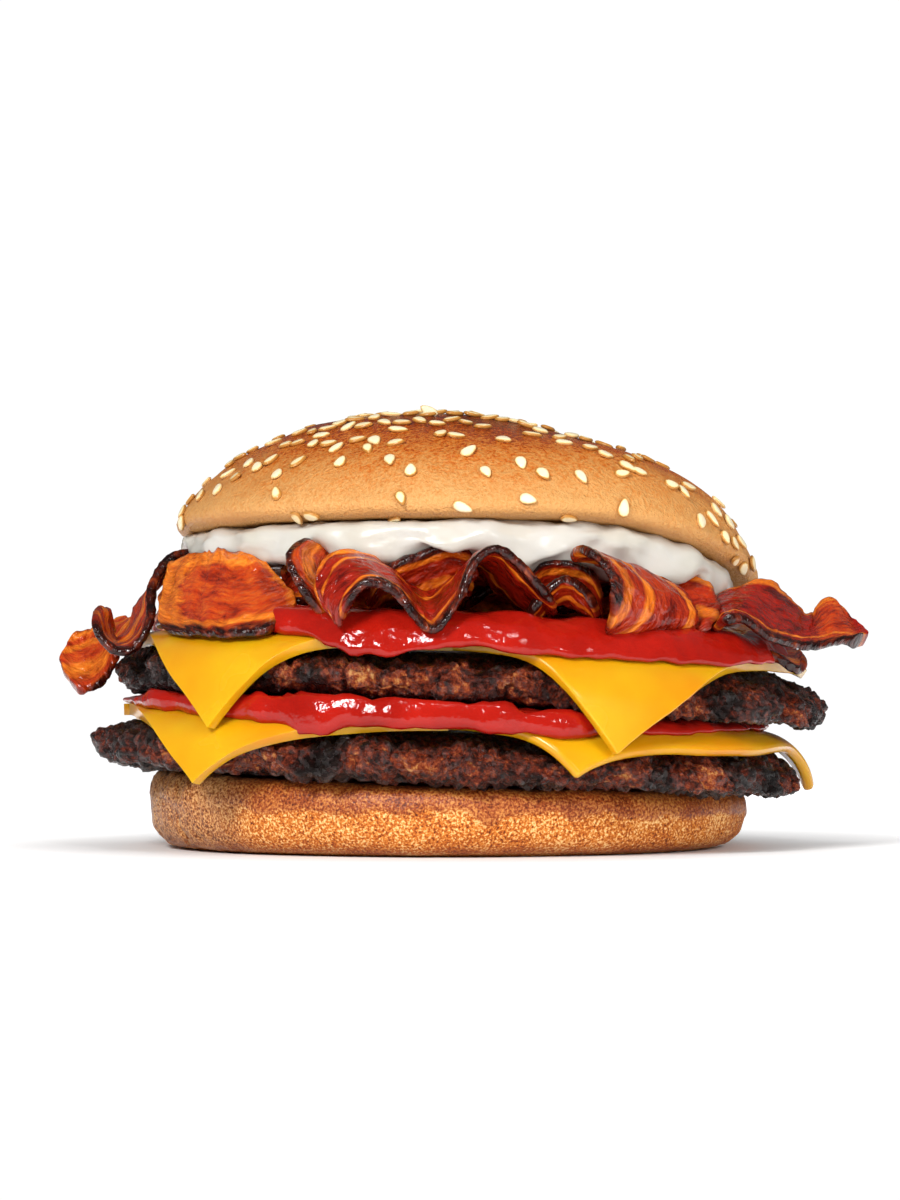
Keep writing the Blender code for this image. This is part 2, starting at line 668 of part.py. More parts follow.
def build():
    clear_scene()
    home = collection("double_cheeseburger")
    cutters = collection("clearances")

    crust = material("toasted_crust", (0.55, 0.23, 0.06), 0.55)
    meat = material("grilled_beef", (0.07, 0.022, 0.012), 0.45)
    cheese_yellow = material("melted_cheese", (0.93, 0.50, 0.02), 0.30)
    red_sauce = material("ketchup", (0.55, 0.014, 0.008), 0.15)
    bacon_red = material("fried_bacon", (0.38, 0.055, 0.018), 0.35)
    white_sauce = material("mayonnaise", (0.86, 0.83, 0.74), 0.20)

    finished(heel(home), crust)
    finished(patty("patty_lower", LOWER_PATTY, 1.7, home), meat)
    finished(patty("patty_upper", UPPER_PATTY, 8.3, home), meat)
    slices = cheese_slices(home, cutters)
    for obj in slices.values():
        finished(obj, cheese_yellow)

    sauce_between = lower_ketchup(home)
    sauce_on_top = upper_ketchup(home)
    spread_on_crown = mayonnaise(home)
    for name, stations in BACON_STRIPS.items():
        finished(bacon(name, stations, BACON_THICKNESS, 0.0, home), bacon_red)
        room = bacon(name + "_room", stations, BACON_THICKNESS + 3 * REST_GAP, REST_GAP, cutters)
        cut_by(sauce_on_top, as_cutter(room))
        cut_by(spread_on_crown, room)
    finished(sauce_between, red_sauce)
    finished(sauce_on_top, red_sauce)
    finished(spread_on_crown, white_sauce)

    crown = crown_core(home)
    add_seeds(crown)
    finished(crown, crust)


build()
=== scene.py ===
"""The visible layers of a double cheeseburger with bacon, ketchup and mayonnaise in a sesame bun.

Metres, +Z up, the front is -Y. Every layer lies round the Z axis. Lists of twelve values run round that
axis in steps of 30 degrees, from +X (the right) over +Y (the back) and -X (the left) to -Y (the front).
"""

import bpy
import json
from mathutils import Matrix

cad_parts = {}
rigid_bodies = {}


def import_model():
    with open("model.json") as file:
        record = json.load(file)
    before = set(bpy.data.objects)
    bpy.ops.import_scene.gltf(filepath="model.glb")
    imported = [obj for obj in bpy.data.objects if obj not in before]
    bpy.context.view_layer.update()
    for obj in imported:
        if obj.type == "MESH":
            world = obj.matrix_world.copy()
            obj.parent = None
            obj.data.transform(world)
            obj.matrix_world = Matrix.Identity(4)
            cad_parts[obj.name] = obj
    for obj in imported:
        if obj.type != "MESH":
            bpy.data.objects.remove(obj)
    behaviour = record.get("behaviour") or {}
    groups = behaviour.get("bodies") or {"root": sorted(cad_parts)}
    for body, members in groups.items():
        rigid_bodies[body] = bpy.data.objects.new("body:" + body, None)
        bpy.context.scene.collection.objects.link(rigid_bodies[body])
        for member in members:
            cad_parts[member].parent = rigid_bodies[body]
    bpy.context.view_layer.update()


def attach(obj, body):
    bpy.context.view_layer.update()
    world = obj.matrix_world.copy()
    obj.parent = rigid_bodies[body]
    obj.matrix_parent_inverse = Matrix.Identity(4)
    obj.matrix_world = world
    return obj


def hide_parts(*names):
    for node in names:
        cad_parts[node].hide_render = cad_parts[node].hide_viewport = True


bl_info = {
    "name": "Double cheeseburger",
    "version": (1, 0, 0),
    "blender": (4, 5, 0),
    "location": "3D View > Sidebar > Burger",
    "description": "Builds the bun, patties, cheese, bacon, sauces and seeds of a double cheeseburger",
    "category": "Add Mesh",
}

import json
from math import cos, pi, radians, sin

import bmesh
import bpy
import numpy as np
from bpy.props import FloatProperty, FloatVectorProperty, IntProperty, PointerProperty
from mathutils import Matrix, Vector, noise
from mathutils.bvhtree import BVHTree

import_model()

MM = 0.001

# Heights and outlines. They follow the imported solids, but the rims and lips are fuller.
REST_GAP = 0.35 * MM
DRAPE_GAP = 0.5 * MM
SAUCE_GAP = 0.75 * MM
PATTY_SPACING = DRAPE_GAP + SAUCE_GAP + REST_GAP
HEEL_HEIGHT = 13.0 * MM
PATTY_THICKNESS = 9.6 * MM
CHEESE_THICKNESS = 2.2 * MM
KETCHUP_FILM = 1.25 * MM
PILE_SLOPE = -0.035
HEEL_RADIUS = 57.1 * MM
HEEL_WAVES = ((3, 0.6, 0.6 * MM), (5, 2.0, 0.36 * MM))
HEEL_PROFILE = (
    (0.0, 1.0), (0.94, 1.0), (0.980, 0.96), (0.996, 0.82), (1.0, 0.56), (0.988, 0.28),
    (0.945, 0.07), (0.87, 0.0), (0.0, 0.0),
)
# The bottom bun's side: where it begins, as shares of its radius, and how deep its swells are
HEEL_SIDE = (0.86, 0.97)
HEEL_SWELL = 0.35 * MM
# The greasy band reaches down to a wavy line, given as a share of the height
GREASE_LINE = 0.62
GREASE_SWING = 0.17
GREASE_DEPTH = 0.35 * MM
# Where the side is barky, smeared and cracked, and how deep that goes
BARK_HEADING = radians(200)
BARK_DEPTH = 0.55 * MM
SMEAR_HEADING = radians(340)
SMEAR_DEPTH = 0.30 * MM
CRACK_HEADING = radians(207)
CRACK_WIDTH = 0.55 * MM
CRACK_DEPTH = 1.7 * MM
PATTY_EDGE_START = 0.72
PATTY_EDGE_FULLNESS = 3.0
CRAG_DEPTH = 3.0 * MM
CRAG_SIZE = 8.0 * MM
CRAG_ONSET = (0.78, 0.97)
CRAG_THINNING = 0.3
# Relief of the patties' edges, in millimetres: lumps of mince, crumbs on them, wide waves, upright ribs at
# the charred ends and creases. Past the limits it would cut into the next layer.
LUMP_RELIEF = 1.25
CRUMB_RELIEF = 0.35
WAVE_RELIEF = 1.0
RIB_RELIEF = 1.8
CREASE_RELIEF = 0.8
FACE_LIMIT = 0.15
EDGE_LIMIT = 1.05
# The two ends that stand out from under the bun and have charred most
LEFT_END = radians(190)
RIGHT_END = radians(-12)
LOWER_PATTY = {
    "base": HEEL_HEIGHT + REST_GAP,
    "radius": (68.8, 68.0, 66.0, 65.0, 66.0, 67.5, 68.4, 67.8, 66.4, 65.5, 66.5, 68.5),
    "droop": (4.0, 3.0, 2.0, 1.5, 1.0, 0.8, 0.8, 0.5, 0.8, 1.2, 2.2, 3.4),
}
UPPER_PATTY = {
    "base": LOWER_PATTY["base"] + PATTY_THICKNESS + CHEESE_THICKNESS + KETCHUP_FILM + PATTY_SPACING,
    "radius": (73.5, 71.0, 67.0, 64.5, 64.0, 63.5, 63.5, 64.5, 65.0, 64.5, 66.0, 71.0),
    "droop": (5.5, 4.5, 3.0, 2.0, 2.0, 2.5, 3.0, 1.0, 0.2, 0.4, 3.0, 5.0),
}
SLICE_SIDE = 84.4 * MM
SLICE_SQUARES = 76
SLICE_WAVE = 0.2 * MM
BEND_START = 0.90
BEND_RADIUS = 7.5 * MM
BEND_LIMIT = radians(80)
DRIP_START = 0.80
# Each slice's patty, the place of its flat corner, the heading of the edge that leaves it, and a melted drip
CHEESE_SLICES = {
    "cheese_lower_right": (LOWER_PATTY, (24.6, -65.6), 58.0, 3.5),
    "cheese_lower_left": (LOWER_PATTY, (-49.9, -56.6), 7.3, 0.0),
    "cheese_lower_back": (LOWER_PATTY, (-19.7, 73.4), 240.0, 0.0),
    "cheese_upper_right": (UPPER_PATTY, (35.4, -70.6), 62.0, 0.0),
    "cheese_upper_left": (UPPER_PATTY, (-49.3, -60.9), 9.0, 0.0),
    "cheese_upper_back": (UPPER_PATTY, (19.4, 72.4), 210.0, 0.0),
}
# How far the two edges that leave a slice's corner have spread outwards as they melted, in millimetres
CHEESE_SPREAD = {"cheese_lower_right": (11.0, 4.0), "cheese_lower_left": (9.0, 4.5)}
# The slice that lies flatter at the right end of the patty, and how much less of it hangs down there
FLAT_AT_RIGHT = "cheese_upper_right"
FLATTENING = 0.72
SWELL_END = 0.90
# Where the sauces' edges begin to wave, as shares of their radius, and the relief on them
SAUCE_EDGE = (0.6, 0.95)
KETCHUP_RELIEF = 0.5 * MM
SAUCE_CLEARANCE = 0.1 * MM
KETCHUP_PROFILE = (
    (0.0, 1.0), (0.62, 1.0), (0.78, 1.0), (0.90, 1.0), (0.97, 0.90), (1.0, 0.45),
    (0.98, 0.06), (0.90, 0.0), (0.62, 0.0), (0.0, 0.0),
)
# A tongue is a wider place in the edge: its heading and width in degrees, and how much further out and lower
# it reaches, in millimetres
LOWER_KETCHUP = {
    "radius": (62.0, 61.0, 61.0, 61.0, 61.0, 61.0, 61.6, 65.0, 66.6, 66.4, 65.4, 63.0),
    "swell": (0.4, 0.0, 0.0, 0.0, 0.0, 0.2, 1.2, 2.6, 3.6, 3.4, 1.8, 0.8),
    "swell_start": 0.80,
    "sag": (0.0, 0.0, 0.0, 0.0, 0.0, 0.0, 0.0, 0.4, 0.7, 0.3, 0.1, 0.0),
    "tongue": (248.0, 5.0, 0.8, 1.6),
}
UPPER_KETCHUP = {
    "radius": (66.0, 60.0, 58.0, 57.0, 57.0, 56.0, 56.0, 58.5, 62.6, 64.4, 65.4, 68.0),
    "swell": (2.0, 1.2, 1.2, 1.2, 1.2, 1.2, 1.5, 2.0, 3.0, 3.4, 3.2, 3.0),
    "swell_start": 0.62,
    "sag": (0.0, 0.0, 0.0, 0.0, 0.0, 0.0, 0.0, 0.0, 0.4, 0.3, 0.0, 0.2),
    "tongue": (257.0, 9.0, 1.6, 2.4),
}
BACON_THICKNESS = 2.0 * MM
# How far a strip's corners are rounded, as a share of its width
END_ROUNDING = 0.30
# Relief of a strip, in millimetres: wide ripples, blisters, streaks along it, and beads on its rind
RIPPLE = 0.45
BLISTER = 0.8
STREAK = 0.13
BEAD = 0.38
# Stations along each strip: x, y and z of its rind edge and then of its fat edge, in millimetres
BACON_STRIPS = {
    "bacon_front_wave": (
        (-18, -65, 40.6, -20.2, -61.5, 42.4), (-17, -66, 47, -24.2, -58.5, 49.6),
        (-13.5, -66.5, 50.2, -20.6, -54, 56.2), (-8.6, -66.5, 48.2, -12, -50, 55),
        (-2.6, -66.5, 41.6, -4.6, -46, 49.6), (2.2, -66, 47, 0.8, -44, 52),
        (5.5, -64.5, 54.4, 3.4, -42, 53.6), (9.4, -63, 56.8, 6, -42, 52.6),
        (13.8, -62.5, 54, 9, -42, 49.2), (18.6, -60.5, 48.6, 13.6, -42, 45.6),
        (23, -58.5, 45, 18.6, -43, 43.6),
    ),
    "bacon_front_tongue": (
        (-22.6, -58.5, 43, -17, -50, 43.4), (-26, -58, 48.4, -18.6, -48, 48.2),
        (-28.6, -56.5, 53.2, -19.4, -45, 52.8), (-28.8, -53.5, 56.8, -19.2, -42, 54.6),
        (-26.6, -48.5, 58.4, -17.8, -38, 54.8), (-24.8, -42, 56.8, -16.4, -33, 53.2),
        (-24, -37, 52.4, -15.8, -29, 50),
    ),
    "bacon_front_arch": (
        (15.6, -57, 56, 33, -38, 51.6), (20.6, -59.5, 57.4, 38.6, -38.5, 51.6),
        (25.8, -60, 56.2, 43.4, -39, 49.4), (29.6, -60.5, 52.4, 46.4, -39.5, 46),
        (30, -61, 48, 46.6, -40, 42.4), (27.2, -61.5, 43.6, 42.4, -42, 40.6),
        (22.6, -61, 41.8, 37, -43, 40.6),
    ),
    "bacon_left_slice": (
        (-53.2, -29, 44, -53.8, -25, 47.6), (-52.6, -34, 41.4, -52.6, -17, 53.6),
        (-46.6, -45, 40.8, -45.6, -24, 56.6), (-38.4, -53, 40.6, -39.4, -31, 57),
        (-31.4, -54.6, 41.6, -34, -36, 55.6), (-25.6, -51.5, 44.4, -28.4, -40, 51.6),
    ),
    "bacon_left_curl": (
        (-67.4, -24, 47.6, -63.4, -9, 46.8), (-65.8, -26, 41.8, -63.4, -9, 42.6),
        (-62.4, -27, 37.9, -62.6, -9, 39.8), (-58.4, -27, 38.2, -60.6, -8, 42.4),
        (-55.4, -24.5, 43.6, -58.6, -6, 47), (-55.8, -19.5, 49.6, -55, -3, 51),
        (-51.6, -14, 56, -49, 2, 53.4), (-44, -12, 55, -42, 6, 51),
        (-35, -12, 48.6, -34, 8, 46.6), (-24, -12, 45.6, -23, 9, 45.2),
        (-12, -11, 48.6, -11, 10, 47.4), (0, -11, 46.6, 1, 10, 45.6),
    ),
    "bacon_left_flap": (
        (-59, -2, 44.6, -59, 11, 44.6), (-62.4, -5, 38.4, -64, 9, 43.6),
        (-65, -9, 32, -67.6, 5, 42), (-69.6, -10.5, 29.8, -71.2, 2, 40.8),
        (-74.2, -8, 31.6, -75, 0, 38.6),
    ),
    "bacon_right_curl": (
        (50.6, -42, 40.2, 47.6, -31, 42), (52.2, -42, 43.4, 50.2, -26, 47.4),
        (55.4, -41.5, 43.4, 55.6, -22, 50.2), (59.6, -38.5, 40.4, 61.4, -18, 50.8),
        (64.6, -32, 38.8, 66.4, -14, 46.2), (69.6, -27, 38.4, 69.8, -9, 44.6),
        (74, -22, 39.2, 73.4, -7, 47.6), (77.8, -18, 39.4, 77, -8, 43.6),
        (80.6, -15, 39.4, 80.6, -11, 40.8),
    ),
    "bacon_right_flap": (
        (10, -24, 45.8, 10, -4, 45.8), (20, -24, 49, 20, -4, 48.4),
        (30, -24, 44.6, 30, -4, 44.6), (38, -24, 43.4, 38, -5, 43.4),
        (46, -25, 42.8, 46, -6, 42.8), (54, -27, 40.6, 54, -8, 40.8),
        (62, -28, 36.6, 62, -8, 38.6), (66.4, -24, 34, 66.6, -8, 38),
        (68.4, -20, 35.8, 68.6, -11, 37.8),
    ),
    "bacon_back_left": (
        (-61, 24, 46, -46, 16, 47), (-57, 34, 41, -42, 24, 45),
        (-51, 41, 46.6, -38, 29, 47), (-45, 47, 47.4, -33, 33, 46.8),
        (-37, 53, 41.6, -26, 38, 44.8), (-28, 59, 46.6, -19, 41, 45.6),
        (-19, 61, 47.6, -12, 43, 45.4), (-10, 62, 42, -5, 43, 43.9),
    ),
    "bacon_back_right": (
        (1, 61, 42.6, 2, 44, 43.6), (10, 62, 47.4, 9, 44, 44.6),
        (19, 60, 46.4, 15, 42, 43.8), (28, 56, 40.6, 21, 39, 42.8),
        (37, 52, 44.2, 28, 36, 43.4), (45, 46, 43.4, 34, 31, 43),
        (53, 38, 38.4, 40, 26, 42.2), (60, 29, 43.6, 46, 20, 42.4),
        (64, 19, 41, 50, 12, 41.6),
    ),
}
# How orange each strip's lean meat has fried, from 0, dark red, to 1, and its bands of fat, each with its
# centre and half-width as shares of the strip's width, counted from the rind edge
STRIP_LOOKS = {
    "bacon_front_wave": (0.05, ((0.15, 0.035), (0.7, 0.03), (0.96, 0.06))),
    "bacon_front_tongue": (0.75, ((0.3, 0.16), (0.95, 0.16))),
    "bacon_front_arch": (0.25, ((0.15, 0.055), (0.42, 0.045), (0.9, 0.045))),
    "bacon_left_slice": (0.85, ((0.14, 0.05), (0.92, 0.12))),
    "bacon_left_curl": (0.35, ((0.2, 0.05), (0.48, 0.1), (0.95, 0.07))),
    "bacon_left_flap": (0.8, ((0.3, 0.16), (0.72, 0.07), (0.97, 0.1))),
    "bacon_right_curl": (0, ((0.16, 0.03), (0.95, 0.06))),
    "bacon_right_flap": (0.9, ((0.28, 0.14), (0.8, 0.1))),
    "bacon_back_left": (0.4, ((0.18, 0.07), (0.55, 0.07), (0.92, 0.08))),
    "bacon_back_right": (0.3, ((0.18, 0.07), (0.6, 0.06), (0.94, 0.08))),
}
FOLD_LOOK = (0.2, ((0.2, 0.08), (0.7, 0.1)))
# Where a strip is all fat at its two ends, as shares of its length
FAT_ENDS = {"strip_left_slice": (0.34, 0.86)}
# Where a strip turns orange on its way, as shares of its length
WARM_RUNS = {"strip_right_curl": (0.62, 0.86)}
# How much thicker a strip's last end is
END_KNOBS = {"strip_right_curl": 0.9, "strip_left_flap": 0.3}
# How wide the black rind is, as a share of a strip's width. One strip's rind edge has none.
RIND_WIDTH = 0.085
BARE_RIND = ("strip_left_flap",)
# Folds that lie deeper inside, behind the strips in front
INNER_FOLDS = {
    "fold_row_behind": tuple(
        (x, -36 - lean, 56.4 - 0.045 * x - dip, x + 1.5, -32 + lean, 42.6 - 0.03 * x)
        for x, lean, dip in (
            (-32, 4, 3.5), (-26, -2, 0), (-19, 2.5, 2), (-12, -2.5, 0.5), (-5, 3, 2), (2, -2, 0),
            (9, 3, 1.5), (16, -2, 0), (23, 2.5, 2), (30, -3, 0.5), (37, 0, 1.5), (44, -7, 0.5),
            (51, -12, 3),
        )
    ),
    "fold_behind_wave": (
        (-15, -50, 48.5, -15, -46, 44.5), (-10.6, -52, 53.6, -11, -47, 46),
        (-4.5, -52, 56.4, -5, -47, 47), (1.9, -51.5, 58, 1, -46.5, 48),
        (6.4, -50, 56.6, 6, -45, 46),
    ),
    "fold_in_arch": (
        (14.6, -49, 52, 15.6, -45, 45), (18, -50, 54.6, 19, -45, 47),
        (22.6, -50.4, 54.6, 23, -45.5, 46), (26.6, -50, 53, 27, -45, 44),
        (29.6, -49, 49, 30, -44, 42),
    ),
    "fold_low_in_arch": (
        (14, -55, 43.6, 15, -50, 41.4), (17.6, -55.6, 48.4, 18.6, -50, 45),
        (21.6, -55.6, 51.4, 22.6, -50, 47), (25.4, -55, 49.4, 26, -50, 45),
        (28, -54, 45, 28.4, -50, 42.4),
    ),
    "fold_middle_left": (
        (-46, -24, 45, -44, -14, 44), (-38, -32, 51, -36, -20, 50),
        (-28, -38, 47, -26, -24, 46), (-18, -41, 53, -17, -26, 51),
        (-8, -42, 46, -8, -27, 46), (2, -42, 51.6, 2, -27, 50),
    ),
    "fold_middle_right": (
        (2, -40, 45, 2, -26, 45), (12, -40, 51, 12, -26, 49),
        (22, -39, 46, 22, -25, 45), (32, -36, 49.6, 32, -24, 48),
        (42, -31, 44, 41, -20, 43), (51, -24, 46, 49, -14, 44),
    ),
}
CROWN_RADIUS = 56.5 * MM
CROWN_HEIGHT = 27.2 * MM
CROWN_FRAME = (
    Matrix.Translation((4.0 * MM, 0.0, 54.6 * MM))
    @ Matrix.Rotation(radians(-6.9), 4, "X")
    @ Matrix.Rotation(radians(6.7), 4, "Y")
)
CROWN_FALL = 2.0
CROWN_FULLNESS = 0.55
CROWN_SWING = radians(80)
CROWN_LIP = ((0.998, 0.115), (1.0, 0.075), (0.994, 0.030), (0.975, 0.006), (0.95, 0.0), (0.0, 0.0))
# Relief of the top bun: wide swells, small dents, and the ragged lip
CROWN_SWELL = 0.45 * MM
CROWN_DENT = 0.12 * MM
LIP_RELIEF = 0.35 * MM
UNEVEN_ONSET = (0.5, 0.95)
CROWN_UNEVENNESS = (-0.6, 0.1, -0.1, 0.2, 0.0, -0.1, -1.4, -1.8, -0.8, 1.7, 4.6, 3.4)
# How far below the top bun bacon is looked for, to rest the mayonnaise on
BACON_REACH = 30 * MM
MAYO_FILM = 1.8 * MM
MAYO_SWELL = (0.70, 0.93)
MAYO_EDGE_WAVE = 0.9 * MM
MAYO_SWIRL = 0.8 * MM
MAYO_LEAST = 1.2 * MM
MAYO_RADIUS = (53.0, 50.0, 48.5, 48.0, 48.5, 50.5, 54.4, 54.8, 54.4, 54.2, 54.6, 54.4)
MAYO_DEPTH = (6.5, 3.4, 2.6, 2.4, 2.6, 3.8, 6.5, 8.0, 8.5, 9.0, 9.5, 9.0)
MAYO_PROFILE = (
    (0.0, 1.0), (0.94, 1.0), (0.99, 0.80), (1.0, 0.45), (0.98, 0.10), (0.92, 0.0),
    (0.78, 0.0), (0.0, 0.0),
)
# Seeds in front, as the camera sees them: column and row in an image of 900 x 1200, and heading in degrees
SEEDS_IN_VIEW = (
    (192, 496, 35), (202, 496, 65), (219, 490, 75), (229, 475, 35), (237, 478, 10), (250, 464, 55),
    (258, 468, 100), (272, 461, 40), (278, 475, 70), (277, 494, 95), (254, 448, 5), (231, 459, 80),
    (241, 455, 20), (274, 444, 30), (287, 446, 0), (299, 444, 10), (299, 463, 35), (314, 445, 50),
    (329, 445, 20), (337, 449, 30), (341, 463, 55), (358, 441, 12), (375, 442, -60), (368, 450, -70),
    (396, 444, 0), (390, 461, -80), (411, 471, 88), (401, 499, -70), (395, 518, 50), (298, 517, -45),
    (312, 515, 0), (463, 507, -20), (441, 435, 30), (456, 437, 0), (469, 452, 30), (486, 473, -60),
    (483, 428, 0), (385, 424, -15), (420, 422, -15), (349, 428, 25), (364, 427, 5), (313, 433, 80),
    (328, 430, 15), (391, 416, 5), (411, 415, 0), (428, 416, 0), (402, 424, 0), (437, 425, 0),
    (472, 416, 0), (490, 417, 0), (503, 420, 0), (184, 512, 70), (183, 522, 80), (521, 464, -70),
    (543, 475, -55), (581, 478, -60), (528, 500, -15), (569, 517, -10), (623, 508, 80), (622, 475, 0),
    (504, 441, -20), (532, 436, -10), (540, 432, -15), (525, 426, -15), (560, 439, 0), (564, 444, -10),
    (586, 440, 0), (590, 449, 0), (605, 456, -10), (629, 460, -50), (627, 468, -35), (639, 473, -20),
    (637, 459, 0), (648, 461, -10), (671, 486, -20), (683, 493, -60), (688, 488, -20), (715, 511, -50),
    (700, 522, -85), (711, 520, -60), (724, 538, -70), (733, 544, -60), (728, 523, -50), (734, 560, -80),
    (742, 568, -85), (740, 543, -55), (751, 564, -75), (753, 584, 60), (355, 421, 10), (375, 419, 30),
    (340, 425, 20), (455, 415, 0), (516, 423, 0), (548, 428, 0), (572, 434, 0), (300, 434, 20),
    (322, 437, 10), (398, 431, 0), (466, 424, 5), (452, 421, 0),
)
# Seeds that stand on their edge on the skyline, the way their length points and the way they face
STANDING_SEEDS = ((431, 411),)
STANDING_LENGTH = (-0.8, -0.3, 0.6)
STANDING_FACE = (0.2, -1.0, 0.1)
# How many pixels up a missed ray is tried, and the range of the seeds' tilts in radians, in front and behind
SEED_NUDGES = 16
SEED_TILT_IN_VIEW = 0.34
SEED_TILT_BEHIND = 0.4
CAMERA_PLACE = Vector((0.8 * MM, -1.2, 47.4 * MM))
LENS = 187.2
SENSOR_HEIGHT = 36.0
IMAGE_CENTRE = (450.0, 600.0)
# The lens over the sensor's height, times the image's 1200 rows
IMAGE_FOCUS = 6240.0
# How high a seed sits, as a share of its thickness, and how much the seeds differ in length and width
SEED_LIFT = 0.30
SEED_LENGTHS = (0.88, 0.24)
SEED_WIDTHS = (0.88, 0.26)
SEED_TRIES = 4000
SEED_REACH = 0.985
SEED_CROWDING = 0.58
SEED_THINNING = 0.55
SEED_THIN_FROM = 0.70
SEED_GAP = 2.7 * MM
# How many points each round piece has round its rim
RIM_POINTS = {"bottom_bun": 330, "patty": 560, "sauce": 300, "top_bun": 300}
# Grid of a strip of bacon: rows for each station, and columns across
STRIP_ROWS = 22
STRIP_COLS = 34
# The lamps: share of the key light's power, width, place, and whether reflections show it
LAMP_TARGET = (0.0, 0.0, 0.045)
LAMPS = {
    "key": (1.0, 0.26, (-0.42, -0.88, 0.58), True),
    "spark": (0.14, 0.12, (0.50, -0.95, 0.52), True),
    "high spark": (0.10, 0.09, (0.06, -0.68, 0.95), True),
    "fill": (0.40, 0.5, (0.75, -0.75, 0.30), False),
    "rim": (0.12, 0.3, (0.55, 0.65, 0.45), False),
}
# Strength of the white world as the camera sees it, as it lights the object, and what reflections lose
WORLD_SEEN = 1.03
WORLD_LIGHT = 0.30
WORLD_MIRRORED = -0.17
# The floor glows from a distance on, so that it ends in the white of the world
FLOOR_SIDE = 0.8
GLOW_START = 0.055
GLOW_FULL = 0.115
GLOW_STRENGTH = 0.6


def linear(colour):
    """A colour as the shader takes it, from sRGB hex."""
    parts = [int(colour[i : i + 2], 16) / 255 for i in (1, 3, 5)]
    return (*(c / 12.92 if c <= 0.04045 else ((c + 0.055) / 1.055) ** 2.4 for c in parts), 1.0)


# Numbers along curves

def between(a, b, c, d, t):
    """The smooth curve through four values, at a share t of the way from b to c."""
    return b + 0.5 * t * (c - a + t * (2 * a - 5 * b + 4 * c - d + t * (3 * (b - c) + d - a)))


def around(values, angle):
    """The values at angles, on a smooth closed curve through values equally spaced round the axis."""
    values = np.asarray(values, float)
    place = np.asarray(angle) % (2 * pi) / (2 * pi) * len(values)
    i = np.floor(place).astype(int)
    return between(*(values[(i + k) % len(values)] for k in (-1, 0, 1, 2)), place - i)


def along(points, place):
    """The points at places from 0 to 1 on a smooth curve through points equally spaced in place."""
    last = len(points) - 1
    place = np.asarray(place) * last
    i = np.clip(np.floor(place).astype(int), 0, last - 1)
    t = (place - i).reshape(place.shape + (1,) * (points.ndim - 1))
    row = np.concatenate([2 * points[:1] - points[1:2], points, 2 * points[-1:] - points[-2:-1]])
    return between(*(row[i + k] for k in range(4)), t)


def ramp(value, start, end):
    """0 up to start, 1 from end, and smooth in between."""
    t = np.clip((value - start) / (end - start), 0.0, 1.0)
    return t * t * (3 - 2 * t)


def noise_places(points, size, seed):
    """The points as the noise takes them, where a lump has size 1 and each seed is a place of its own."""
    shift = Vector((17.3 * seed, 5.1 * seed, 11.7 * seed))
    return [Vector(point) + shift for point in np.asarray(points, float).reshape(-1, 3) / size]


def rough(points, size, seed=0.0, depth=1):
    """Smooth noise, about -1 to 1, at points in metres, with lumps of one size and depth - 1 finer ones."""
    found = [noise.fractal(place, 1.0, 2.0, depth) for place in noise_places(points, size, seed)]
    return np.array(found).reshape(np.shape(points)[:-1])


def lumps(points, size, seed=0.0):
    """Rounded lumps side by side: 0 in the clefts between them and 1 on their tops."""
    near = np.array([noise.voronoi(place)[0][:2] for place in noise_places(points, size, seed)])
    return ramp(near[:, 1] - near[:, 0], 0.0, 0.55).reshape(np.shape(points)[:-1])


def bell(value):
    """1 at 0, and smoothly down to nothing past about 2 either way."""
    return np.exp(-(value**2))


def rounded(profile, width, height, step, passes=4):
    """A turned piece's outline with evenly spaced points and softened corners, thinned out near the axis."""
    points = np.array(profile) * (width, height)
    leg = np.hypot(*np.diff(points, axis=0).T)
    reach = np.concatenate([[0.0], np.cumsum(leg)])
    even = np.linspace(0.0, reach[-1], int(reach[-1] / step))
    line = np.stack([np.interp(even, reach, points[:, k]) for k in (0, 1)], 1)
    for _ in range(passes):
        line[1:-1] = (line[:-2] + 2 * line[1:-1] + line[2:]) / 4
    keep = (line[:, 0] > 0.62 * width) | (np.arange(len(line)) % 6 == 0)
    return line[keep] / (width, height)


# Meshes

def mesh_object(name, points, faces):
    """A new object in the scene, at the origin, with a mesh of points and faces."""
    mesh = bpy.data.meshes.new(name)
    mesh.from_pydata(points, [], faces)
    mesh.validate()
    obj = bpy.data.objects.new(name, mesh)
    bpy.context.scene.collection.objects.link(obj)
    return obj


def turned(name, profile, sides, place):
    """A closed skin from a profile of radius and height shares, put at place(share, height, angle).

    Also returns those three numbers for every vertex, with the ends repeated for the two poles.
    """
    inner = profile[profile[:, 0] > 0.01]
    angle = np.linspace(0, 2 * pi, sides, endpoint=False)
    share, height, angle = np.broadcast_arrays(inner[:, :1], inner[:, 1:], angle[None])
    rings = np.stack(np.broadcast_arrays(*place(share, height, angle)), -1)
    count = len(inner)
    points = np.concatenate([rings.reshape(-1, 3), rings[:1].mean(1), rings[-1:].mean(1)])
    top, bottom = count * sides, count * sides + 1
    faces = []
    for c in range(sides):
        n = (c + 1) % sides
        faces.append((top, c, n))
        faces.extend((r * sides + c, (r + 1) * sides + c, (r + 1) * sides + n, r * sides + n)
                     for r in range(count - 1))
        faces.append((bottom, (count - 1) * sides + n, (count - 1) * sides + c))
    given = []
    for values in (share, height, angle):
        flat = values.ravel()
        given.append(np.concatenate([flat, flat[[0, -1]]]))
    return mesh_object(name, points.tolist(), faces), given


